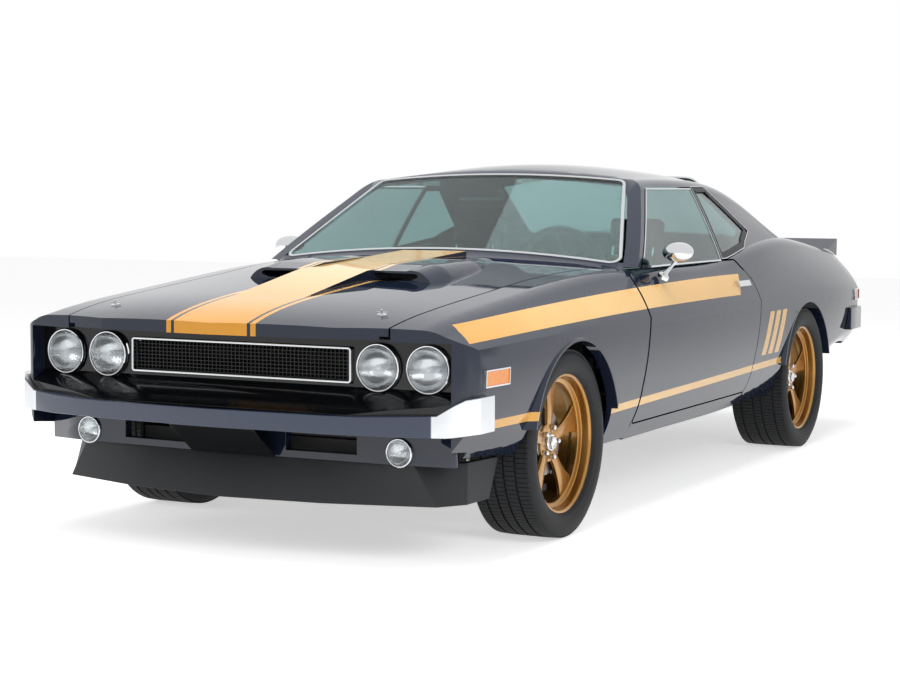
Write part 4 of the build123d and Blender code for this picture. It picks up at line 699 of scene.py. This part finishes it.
# The valance copy ends flush with the fenders' inner edge.
VALANCE_HALF = 0.822
valance = bpy.data.objects["front_valance_panel"]
for side in (1, -1):
    edit(valance)
    bpy.ops.mesh.bisect(plane_co=(side * VALANCE_HALF, 0, 0), plane_no=(side, 0, 0),
                        clear_outer=True, use_fill=True)
    end_edit()

# CAD pieces that stay as they are get their finish alone.
for finish_name, nodes in (
        ("amber_acrylic", ("side_markers",)), ("red_acrylic", ("tail_lamps",)),
        ("satin_black_enamel", ("grille_screen",)), ("aluminised_pipe", ("exhaust_system",)),
        ("chassis_black", ("underbody", "front_crossmember")),
        ("lamp_glass", ("headlamps", "fog_lamps")),
        ("chrome", ("grille_frame", "handle_left", "handle_right", "mirror_left",
                    "mirror_right")),
        ("cast_iron", ("engine", "rear_axle", "knuckle_left", "knuckle_right")),
        ("turned_steel", ("upper_arms", "leaf_springs", "fuel_tank", "steering_linkage",
                          "door_hinges")),
        ("grained_black_vinyl", ("front_seats", "rear_seat", "interior_mirror")),
        ("rubber", ("tyre_front_left", "tyre_front_right", "tyre_rear_left",
                    "tyre_rear_right")),
        ("bronze", ("rim_front_left", "rim_front_right", "rim_rear_left", "rim_rear_right"))):
    for node in nodes:
        coat(frame["nodes"][node], finish_name)

# Wheels: places along the car, of the outer rim plane and of the tyre's middle.
AXLE_Z = 340 * MM
TYRE_RADIUS = 340 * MM
BLOCK_HEIGHT = 7 * MM
TREAD_BASE = TYRE_RADIUS - BLOCK_HEIGHT
TREAD_STEPS = 120
SPOKE_COUNT = 5
NUT_CIRCLE = 56 * MM
RIM_SEAT = 249.7
# in mm: how far in from the face and how far out from the axis
TYRE_WALL = ((22, 250), (18, 253.5), (14.5, 255), (11, 259), (8.5, 261), (8, 263.5), (4.5, 272),
             (1.5, 282), (0, 294), (0.8, 306), (1.6, 308), (1.8, 310), (3.6, 318), (8, 326),
             (13, 331))
RIM_FACE = ((0, RIM_SEAT), (0, 243.5), (2, 240.5), (6, 238), (12, 236.8), (33, 235.5),
            (36, 233), (40, 219), (43, 216.5), (62, 215.5), (74, 218), (84, 226))
HUB_FACE = ((74, 0), (74, 70), (61, 72), (58.5, 69), (58.5, 43), (62, 40), (62, 0))
CAP_FACE = ((64, 0), (64, 33), (53, 33), (50.5, 31.5), (47.5, 29), (47.5, 0))
# half-width of a spoke at places out from the hub
SPOKE_OUTLINE = ((40, 25), (62, 22.5), (88, 22), (112, 24), (136, 27.5), (160, 33), (182, 40),
                 (200, 48), (214, 57), (222, 64))


def tyre(name, centre, half):
    """A tyre: bulged walls with a bead rib and scuff line, and rows of tread blocks."""
    side = [(half - d * MM, r * MM) for d, r in TYRE_WALL]
    tread = [(x, TREAD_BASE) for x in (half - 55 * MM, half - 61 * MM, 23 * MM, 17 * MM)]
    half_profile = side + tread
    profile = half_profile + [(-x, r) for x, r in reversed(half_profile)]
    piece = lathe(name, profile + [profile[0]], centre, ALONG_X, TREAD_STEPS)
    middle = Vector(centre)
    ribs = ((-17, 17), (23, half / MM - 61), (half / MM - 55, half / MM - 13))

    def from_middle(place):
        return (abs(place.x - middle.x) / MM,
                math.hypot(place.y - middle.y, place.z - middle.z))

    def on_tread(face_centre, normal):
        x, out = from_middle(face_centre)
        return (TREAD_BASE - 3 * MM <= out <= TREAD_BASE + MM and not 17 < x < 23
                and any(a - 1 < x < b + 1 for a, b in ribs))
    edit(piece)
    pick_faces(piece, on_tread)
    bpy.ops.mesh.inset(thickness=1.3 * MM, use_individual=True, use_even_offset=False)
    bpy.ops.mesh.extrude_region_shrink_fatten(
        TRANSFORM_OT_shrink_fatten={"value": BLOCK_HEIGHT - 0.3 * MM})
    # the rows are offset from each other by part of a block
    for low, high, share in ((20, half / MM - 58, 0.5), (half / MM - 58, half / MM - 8, 0.25)):
        bpy.ops.mesh.select_mode(type="VERT")
        mesh = bmesh.from_edit_mesh(piece.data)
        for vert in mesh.verts:
            x, out = from_middle(vert.co)
            vert.select_set(low < x < high and out > TREAD_BASE - 4 * MM)
        mesh.select_flush_mode()
        bmesh.update_edit_mesh(piece.data)
        bpy.ops.transform.rotate(value=share * 2 * math.pi / TREAD_STEPS, orient_axis="X",
                                 orient_type="GLOBAL", center_override=centre)
    end_edit()
    return piece


def wheel_barrel(name, centre, half):
    """The rim: rounded lip, deep outer wall, sloped second ring and the inner barrel."""
    profile = [(half - d * MM, r * MM) for d, r in RIM_FACE]
    profile += [(-half + 24 * MM, 234 * MM), (-half + 6 * MM, 238 * MM), (-half, 243 * MM),
                (-half, RIM_SEAT * MM)]
    return lathe(name, profile + [profile[0]], centre, ALONG_X, 128)


def wheel_spoke(name, centre, half):
    """One flat flared spoke, upright from the hub."""
    x, y, z = centre

    def at(out, across):
        depth = 58 - 8 * (out - 40) / 182
        return (x + half - depth * MM, y + across * MM, z + out * MM)
    line = [at(out, w) for out, w in SPOKE_OUTLINE]
    line += [at(229, 32), at(231, 0), at(229, -32)]
    line += [at(out, -w) for out, w in reversed(SPOKE_OUTLINE)]
    piece = draw_line(name, line)
    bpy.ops.mesh.edge_face_add()
    bpy.ops.mesh.select_all(action="SELECT")
    bpy.ops.mesh.extrude_region_move(TRANSFORM_OT_translate={"value": (-11 * MM, 0, 0)})
    close_mesh(piece)
    round_edges(piece, 1.6 * MM, 2, 50)
    return piece


def hexagon(name, radius, depth, place):
    """A six-sided prism that faces outwards from the wheel."""
    piece = add_primitive("cylinder", name, vertices=6, radius=radius, depth=depth,
                          location=place, rotation=(0, math.pi / 2, 0))
    return settle(piece)


def facing_x(centre, normal):
    return normal.x > 0.9


def lug_nut(name, centre, half):
    """A closed chromed wheel nut: six flats, a flange and a domed end."""
    x, y, z = centre
    piece = hexagon(name, 10.5 * MM, 16 * MM, (x + half - 52 * MM, y + NUT_CIRCLE, z))
    dish(piece, facing_x, (2 * MM, (3 * MM, 0, 0)), (4 * MM, (1.5 * MM, 0, 0)))
    round_edges(piece, 0.8 * MM)
    return piece


def hub_cap(name, centre, half):
    """The chromed centre cap: a flanged barrel with a hexagonal top round a dark eye."""
    barrel = lathe(name, [(half - d * MM, r * MM) for d, r in CAP_FACE], centre, ALONG_X, 64)
    x, y, z = centre
    top = hexagon("cap_top", 26.5 * MM, 9 * MM, (x + half - 44 * MM, y, z))
    dish(top, facing_x, (6 * MM, (2.5 * MM, 0, 0)), (4 * MM, (-4 * MM, 0, 0)))
    round_edges(top, 1.0 * MM, 2, 25)
    return join([barrel, top], name)


def brake_disc(name, centre):
    """A ventilated disc with a hub bell."""
    profile = in_mm(((19.8, 21), (19.8, 120), (26.8, 120), (26.8, 74), (29.5, 72),
                     (29.5, 46), (28.5, 21)))
    return lathe(name, profile + [profile[0]], centre, ALONG_X, 72)


def brake_caliper(name, centre):
    """A two-piston caliper over the disc's edge."""
    x, y, z = centre
    piece = block(name, (28 * MM, 112 * MM, 44 * MM), (x + 15 * MM, y, z + 148 * MM))
    dish(piece, facing_x, (8 * MM, (-5 * MM, 0, 0)))
    round_edges(piece, 5 * MM, 3, 40)
    return turned(piece, math.radians(52), ALONG_X, centre)


def all_round(first, centre):
    """A piece and its copies round the wheel's axis."""
    step = 2 * math.pi / SPOKE_COUNT
    return [first] + [turned(again(first, f"{first.name}_{k}"), step * k, ALONG_X, centre)
                      for k in range(1, SPOKE_COUNT)]


for end, track_y, half_track, half_rim, half_tyre in (
        ("front", -1.465, 0.780, 100.5 * MM, 122.5 * MM),
        ("rear", 1.329, 0.788, 115.5 * MM, 137.5 * MM)):
    centre = (half_track, track_y, AXLE_Z)
    rubber = tyre(f"{end}_tyre_left", centre, half_tyre)
    barrel = wheel_barrel(f"{end}_wheel_left", centre, half_rim)
    spokes = all_round(wheel_spoke("spoke", centre, half_rim), centre)
    hub = lathe("hub", [(half_rim - d * MM, r * MM) for d, r in HUB_FACE], centre, ALONG_X, 64)
    alloy = join([barrel, hub] + spokes, f"{end}_wheel_left")
    nuts = all_round(lug_nut("nut", centre, half_rim), centre)
    bright = join([hub_cap("cap", centre, half_rim)] + nuts, f"{end}_wheel_nuts_left")
    disc = brake_disc(f"{end}_brake_disc_left", centre)
    group = (rubber, alloy, bright, disc)
    for side in ("left", "right"):
        if side == "right":
            group = [mirrored(piece) for piece in group]
        body = f"wheel_{end}_{side}"
        finish_piece(group[0], "rubber", body, (f"tyre_{end}_{side}",))
        finish_piece(group[1], "bronze", body, (f"rim_{end}_{side}",))
        finish_piece(group[2], "chrome", body)
        finish_piece(group[3], "turned_steel", body)
    if end == "front":
        caliper = brake_caliper("brake_caliper_left", centre)
        opposite = mirrored(caliper)
        finish_piece(caliper, "cast_aluminium", "knuckle_left")
        finish_piece(opposite, "cast_aluminium", "knuckle_right")


# Nose: lamps, grille, fog lamps, side markers, hood pins and the blank plate.
def plain_ring(name, x, z, rings, steps=64):
    """A turned piece about an axis along the car, from (place along, radius) pairs in mm."""
    return lathe(name, in_mm(rings), (x, 0, z), ALONG_Y, steps)


LAMP_RADIUS = 81.7
# in parts of a lamp of that radius, back from its front
LENS_RINGS = ((-8.5, 0), (-8.0, 22), (-6.2, 43), (-3.0, 61), (1.6, 73.6), (5, 73.8), (1, 60),
              (-2.4, 42), (-4.2, 21), (-4.8, 0))
BOWL_RINGS = ((5, 74), (17, 68), (32, 55), (44, 38), (50, 20), (52, 0), (54, 0), (52, 21),
              (46, 40), (34, 57.5), (18, 71), (6, 76), (5, 74))
SHIELD_RINGS = ((10, 0), (11, 8), (17, 11), (52, 9), (52, 0))


def round_lamp(name, x, z, front, radius):
    """A round lamp: rolled chrome bezel, fluted lens, polished bowl and bulb shield."""
    k = radius / LAMP_RADIUS
    bezel = plain_ring(name + "_bezel", x, z, (
        (front + 14, radius), (front + 3, radius), (front, radius - 1.2),
        (front - 1.6, radius - 3.4), (front - 0.6, radius - 6), (front + 3, radius - 7.2),
        (front + 14, radius - 7.2), (front + 14, radius)))
    lens, bowl, shield = (
        plain_ring(name + part, x, z, [(front + a * k, r * k) for a, r in rings], steps)
        for part, rings, steps in (("_lens", LENS_RINGS, 64), ("_bowl", BOWL_RINGS, 64),
                                   ("_shield", SHIELD_RINGS, 32)))
    finish_piece(bezel, "chrome", "body")
    finish_piece(lens, "fluted_glass", "body")
    finish_piece(join([bowl, shield], name + "_bowl"), "lamp_silver", "body")
    return bezel


for kind, front, radius, places in (
        ("headlamp", -2244.1, LAMP_RADIUS, ((0.7407, 0.6611), (0.5527, 0.6598),
                                            (-0.7407, 0.6611), (-0.5527, 0.6598))),
        ("fog_lamp", -2247.0, 49.7, ((0.635, 0.383), (-0.635, 0.383)))):
    for k, (x, z) in enumerate(places):
        bezel = round_lamp(f"{kind}_{k}", x, z, front, radius)
        if k == 0:
            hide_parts(kind + "s")

# Grille frame: a rounded outline drawn, filled, inset and given its depth, in mm.
GRILLE_HALF = 449.8
GRILLE_LOW = 601.6
GRILLE_HIGH = 723.4
GRILLE_CORNER = 12.0
GRILLE_FRONT = -2239.5


def corner(x, z, start, count=5):
    """An arc of a quarter turn about a corner's middle."""
    angles = [math.radians(start + 90 * i / count) for i in range(count + 1)]
    return [(x + GRILLE_CORNER * math.cos(a), z + GRILLE_CORNER * math.sin(a)) for a in angles]


across = GRILLE_HALF - GRILLE_CORNER
top, bottom = GRILLE_HIGH - GRILLE_CORNER, GRILLE_LOW + GRILLE_CORNER
outline = (corner(across, top, 0) + [(0, GRILLE_HIGH)] + corner(-across, top, 90)
           + corner(-across, bottom, 180) + [(0, GRILLE_LOW)] + corner(across, bottom, 270))
surround = draw_line("grille_surround",
                     [(x * MM, GRILLE_FRONT * MM, z * MM) for x, z in outline])
bpy.ops.mesh.edge_face_add()
bpy.ops.mesh.select_all(action="SELECT")
bpy.ops.mesh.inset(thickness=8 * MM)
bpy.ops.mesh.delete(type="FACE")
bpy.ops.mesh.select_all(action="SELECT")
bpy.ops.mesh.extrude_region_move(TRANSFORM_OT_translate={"value": (0, 36 * MM, 0)})
close_mesh(surround)
round_edges(surround, 1.8 * MM, 3, 60)
finish_piece(surround, "chrome", "body", ("grille_frame",))

WIRE = 2.2 * MM
bar = block("grille_mesh", (0.884, 0.014, WIRE), (0, -2.211, 0.612))
in_row(bar, 9, (0, 0, 12.62 * MM))
post = block("grille_posts", (WIRE, 0.012, 0.106), (-0.4395, -2.2105, 0.6625))
in_row(post, 56, (15.98 * MM, 0, 0))
finish_piece(join([bar, post], "grille_mesh"), "satin_black_enamel", "body",
             ("grille_screen",))


# Side markers: the CAD lenses, with a raised bright border inset on each outer face.
def marker_face(centre, normal):
    return abs(normal.x) > 0.8 and abs(centre.x) > 0.86


markers = smooth_panel("side_markers", "body", "side_marker_lamps", "marker_acrylic")
markers.data.materials.append(finish["chrome"])
edit(markers)
pick_faces(markers, marker_face)
bpy.ops.mesh.inset(thickness=5 * MM)
mesh = bmesh.from_edit_mesh(markers.data)
inner = {face for face in mesh.faces if face.select}
for face in mesh.faces:
    face.material_index = 0 if face in inner else 1
    face.select_set(face not in inner
                    and marker_face(face.calc_center_median(), face.normal))
bmesh.update_edit_mesh(markers.data)
bpy.ops.mesh.extrude_region_shrink_fatten(TRANSFORM_OT_shrink_fatten={"value": 3 * MM})
end_edit()


def hood_pin(name, x, y):
    """A plate, a post and a sprung clip through it, stood on the hood over a place."""
    _, place, normal, _ = bpy.data.objects["hood_panel"].ray_cast(
        Vector((x, y, 2.0)), Vector((0, 0, -1)))
    plate = lathe(name, in_mm(((0, 0), (0, 17), (1.5, 17), (2.5, 15.5), (2.5, 6.5), (4, 6),
                               (4, 4), (17, 4), (19, 2.5), (19, 0))), place, normal, 32)
    over = place + normal * 9 * MM
    clip = add_primitive("torus", "clip", major_radius=9 * MM, minor_radius=1.3 * MM,
                         major_segments=32, minor_segments=8,
                         location=over + Vector((0.012, 0, 0)))
    settle(clip)
    leg = add_primitive("cylinder", "leg", radius=1.3 * MM, depth=34 * MM, vertices=8,
                        location=over + Vector((-0.006, 0.004, 0)),
                        rotation=(0, math.pi / 2, 0))
    settle(leg)
    finish_piece(join([plate, clip, leg], name), "chrome", "hood")


hood_pin("hood_pin_left", 0.546, -2.202)
hood_pin("hood_pin_right", -0.546, -2.202)


def blank_plate(name, size, centre, test, border, shift, lean=0):
    """A plain number plate with a raised border."""
    plate = block(name, size, centre)
    dish(plate, test, (border, (0, shift, 0)))
    round_edges(plate, 1.2 * MM, 2, 40)
    turned(plate, math.radians(lean), ALONG_X, centre)
    finish_piece(plate, "black_gloss_enamel", "body")


# on the sloped panel under the bumper
blank_plate("front_plate_blank", (0.342, 0.006, 0.172), (0, -2.336, 0.398),
            lambda c, n: n.y < -0.9, 6 * MM, 1.5 * MM, 52)


# Window trim: bands made from the outer faces of the panes themselves.
def edge_band(node, name, body, finish_name, width, height, outer):
    """A raised band along the edge of a pane's outer face."""
    piece = merged_copy(node, name)
    edit(piece)
    pick_faces(piece, lambda c, n: not outer(c, n))
    bpy.ops.mesh.delete(type="FACE")
    bpy.ops.mesh.select_all(action="SELECT")
    bpy.ops.mesh.dissolve_limited(angle_limit=math.radians(0.4))
    bpy.ops.mesh.select_all(action="SELECT")
    bpy.ops.mesh.inset(thickness=width, use_boundary=True)
    bpy.ops.mesh.delete(type="FACE")
    bpy.ops.mesh.select_all(action="SELECT")
    bpy.ops.mesh.extrude_region_shrink_fatten(TRANSFORM_OT_shrink_fatten={"value": height})
    bpy.ops.mesh.select_all(action="SELECT")
    bpy.ops.mesh.normals_make_consistent(inside=False)
    end_edit()
    finish_piece(piece, finish_name, body)


def facing(direction, least=0.5):
    direction = Vector(direction).normalized()
    return lambda c, n: n.dot(direction) > least


def facing_out(centre, normal):
    return normal.x * centre.x > 0 and abs(normal.x) > 0.6


edge_band("windscreen", "windscreen_surround", "body", "chrome", 13 * MM, 7 * MM,
          facing((0, -0.62, 0.78)))
edge_band("rear_window", "rear_window_surround", "body", "chrome", 13 * MM, 7 * MM,
          facing((0, 0.45, 0.89)))
edge_band("quarter_windows", "quarter_window_rubber", "body", "moulded_black_urethane",
          32 * MM, 5 * MM, facing_out)
edge_band("quarter_windows", "quarter_window_trim", "body", "chrome", 3.5 * MM, 7 * MM,
          facing_out)
for side in ("left", "right"):
    edge_band(f"door_glass_{side}", f"door_glass_trim_{side}", f"door_{side}", "chrome",
              7 * MM, 4 * MM, facing_out)

MIRROR_SHELL = ((-62, 0), (-61, 12), (-55, 26), (-42, 38), (-24, 46), (0, 50), (22, 51),
                (34, 50), (37, 48), (35, 45), (30, 44), (30, 0))
MIRROR_GLASS = ((30.2, 0), (30.2, 43.5), (31.4, 43.5), (31.4, 0))


def mirror_part(name, rings, head_at):
    """A turned part of a mirror's head, drawn out to an oval."""
    part = lathe(name, in_mm(rings), head_at, ALONG_Y, 64)
    edit(part)
    bpy.ops.transform.resize(value=(1.18, 1.0, 0.80), center_override=head_at)
    end_edit()
    return part


for name, side in (("left", 1), ("right", -1)):
    # a chromed bullet head with its glass, on a leaning stalk with a round foot
    head_at = (side * 0.921, -0.455, 1.000)
    head = mirror_part(f"door_mirror_{name}", MIRROR_SHELL, head_at)
    foot_at = Vector((side * 0.884, -0.505, 0.905))
    rise = Vector(head_at) + Vector((0, 0, -0.030)) - foot_at
    stalk = lathe("stalk", [(0, 0), (0, 15 * MM), (0.006, 13 * MM), (0.020, 8 * MM),
                            (rise.length * 0.6, 6.5 * MM), (rise.length, 9 * MM),
                            (rise.length, 0)], foot_at, rise, 32)
    foot = lathe("foot", in_mm(((-10, 0), (-10, 24), (3, 24), (9, 18), (11, 0))), foot_at,
                 (side * 0.55, 0, 0.83), 40)
    finish_piece(join([head, stalk, foot], f"door_mirror_{name}"), "chrome", f"door_{name}",
                 (f"mirror_{name}",))
    glass = mirror_part(f"door_mirror_{name}_glass", MIRROR_GLASS, head_at)
    finish_piece(glass, "lamp_silver", f"door_{name}")

# Seats: padded pieces swollen by a cloth simulation from slightly smaller rounded forms.
PAD_VOXEL = 6 * MM
PAD_CAP = 14 * MM
PAD_PRESSURE = 4.0
PAD_FRAMES = 20
PAD_ALLOWANCE = 12 * MM
CHANNEL_HALF = 9 * MM
CHANNEL_DEPTH = 6 * MM
CHANNELS = [k * 62 * MM for k in (-2, -1, 0, 1, 2)]


def swell(piece):
    """Inflates a closed form with cloth pressure, no point moving further than the cap."""
    add_modifier(piece, "REMESH", mode="VOXEL", voxel_size=PAD_VOXEL)
    start = [v.co.copy() for v in piece.data.vertices]
    cloth = piece.modifiers.new("cloth", "CLOTH")
    cloth.settings.use_pressure = True
    cloth.settings.uniform_pressure_force = PAD_PRESSURE
    cloth.settings.quality = 4
    cloth.settings.effector_weights.gravity = 0.0
    cloth.point_cache.frame_start = 1
    cloth.point_cache.frame_end = PAD_FRAMES
    scene = bpy.context.scene
    for frame_number in range(1, PAD_FRAMES + 1):
        scene.frame_set(frame_number)
    seen = piece.evaluated_get(bpy.context.evaluated_depsgraph_get())
    swollen = [v.co.copy() for v in seen.data.vertices]
    piece.modifiers.clear()
    for vert, old, new in zip(piece.data.vertices, start, swollen):
        step = new - old
        if step.length > PAD_CAP:
            step *= PAD_CAP / step.length
        vert.co = old + step
    scene.frame_set(1)


def pad(name, size, centre, lean, grooves=CHANNELS):
    """A crowned cushion with sewn channels: a beveled block, channelled and swollen."""
    piece = block(name, [s - PAD_ALLOWANCE for s in size], centre)
    edit(piece)
    bpy.ops.mesh.subdivide(number_cuts=5)
    end_edit()
    round_edges(piece, min(size) * 0.28, 4, 50)
    swell(piece)
    middle = Vector(centre)
    thin = min(range(3), key=lambda i: size[i])
    for vert in piece.data.vertices:
        place = vert.co - middle
        if abs(place[thin]) <= size[thin] * 0.30:
            continue
        for groove in grooves:
            away = abs(place.x - groove) / CHANNEL_HALF
            if away < 1:
                vert.co[thin] -= math.copysign(CHANNEL_DEPTH * (1 - away ** 2), place[thin])
    add_modifier(piece, "SMOOTH", factor=0.5, iterations=2)
    return turned(piece, math.radians(lean), ALONG_X, centre)


def seat_piece(piece):
    choose(piece)
    bpy.ops.object.shade_smooth()
    coat(piece, "seat_vinyl")
    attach(piece, "body")


for node, pads in (
        ("front_seats", (
            ("front_cushion_left", (0.440, 0.480, 0.150), (0.400, -0.095, 0.425), 5),
            ("front_backrest_left", (0.440, 0.125, 0.520), (0.400, 0.276, 0.715), -19),
            ("front_headrest_left", (0.250, 0.095, 0.150), (0.400, 0.408, 1.045), -14, ()))),
        ("rear_seat", (
            ("rear_cushion_left", (0.440, 0.270, 0.130), (0.405, 0.668, 0.425), 3),
            ("rear_backrest_left", (0.620, 0.110, 0.455), (0.318, 0.885, 0.710), -10)))):
    pieces = [pad(*row) for row in pads]
    for piece in pieces:
        opposite = mirrored(piece)
        if piece is pieces[0]:
            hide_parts(node)
        seat_piece(piece)
        seat_piece(opposite)

# Moulded seat bases with a hollow under each, and the headrests' posts.
for side, name in ((1, "left"), (-1, "right")):
    base = block(f"seat_base_{name}", (0.400, 0.520, 0.066), (side * 0.400, -0.060, 0.316))
    dish(base, lambda c, n: n.z < -0.9, (40 * MM, (0, 0, 20 * MM)))
    round_edges(base, 12 * MM, 3, 40)
    finish_piece(base, "moulded_black_urethane", "body")
    for dx, edge in ((-0.095, "in"), (0.095, "out")):
        post = lathe(f"headrest_post_{name}_{edge}",
                     [(0, 0), (0, 6 * MM), (0.110, 6 * MM), (0.110, 0)],
                     (side * 0.400 + dx, 0.345, 0.920), (0, 0.25, 0.97), 16)
        finish_piece(post, "chrome", "body")

# Instrument binnacle: four ringed dials in the dash ahead of the wheel.
for k, (x, r) in enumerate(((0.245, 34), (0.325, 46), (0.425, 46), (0.505, 34))):
    hit, place, normal, _ = bpy.data.objects["dash_panel"].ray_cast(
        Vector((x, 0.0, 0.86)), Vector((0, -1, 0)))
    if hit:
        rings = ((0, r), (6, r), (8, r - 3), (6, r - 6), (2, r - 7), (2, 0))
        finish_piece(lathe(f"dash_dial_{k}", in_mm(rings), place, normal, 40),
                     "turned_steel", "body")

# Tail: lens borders, exhaust tips and the blank plate.
edge_band("tail_lamps", "tail_lamp_borders", "body", "chrome", 6 * MM, 4 * MM,
          facing(ALONG_Y, 0.8))
for side, name in ((1, "left"), (-1, "right")):
    for part, finish_name, rings in (
            ("tip", "chrome", ((0, 33), (70, 33), (74, 36), (77, 34.5), (76, 31), (0, 30.4),
                               (0, 33))),
            # a closed dark disc just inside each tip's mouth: painted shade standing for the
            # hollow pipe beyond
            ("painted_shade_disc", "chassis_black", ((70, 0), (70, 27), (71.2, 27), (71.2, 0)))):
        finish_piece(lathe(f"exhaust_{part}_{name}", in_mm(rings), (side * 0.335, 2.335, 0.321),
                           ALONG_Y, 48), finish_name, "body")
blank_plate("rear_plate_blank", (0.285, 0.005, 0.100), (0, 2.4185, 0.700),
            lambda c, n: n.y > 0.9, 5 * MM, -1.2 * MM)
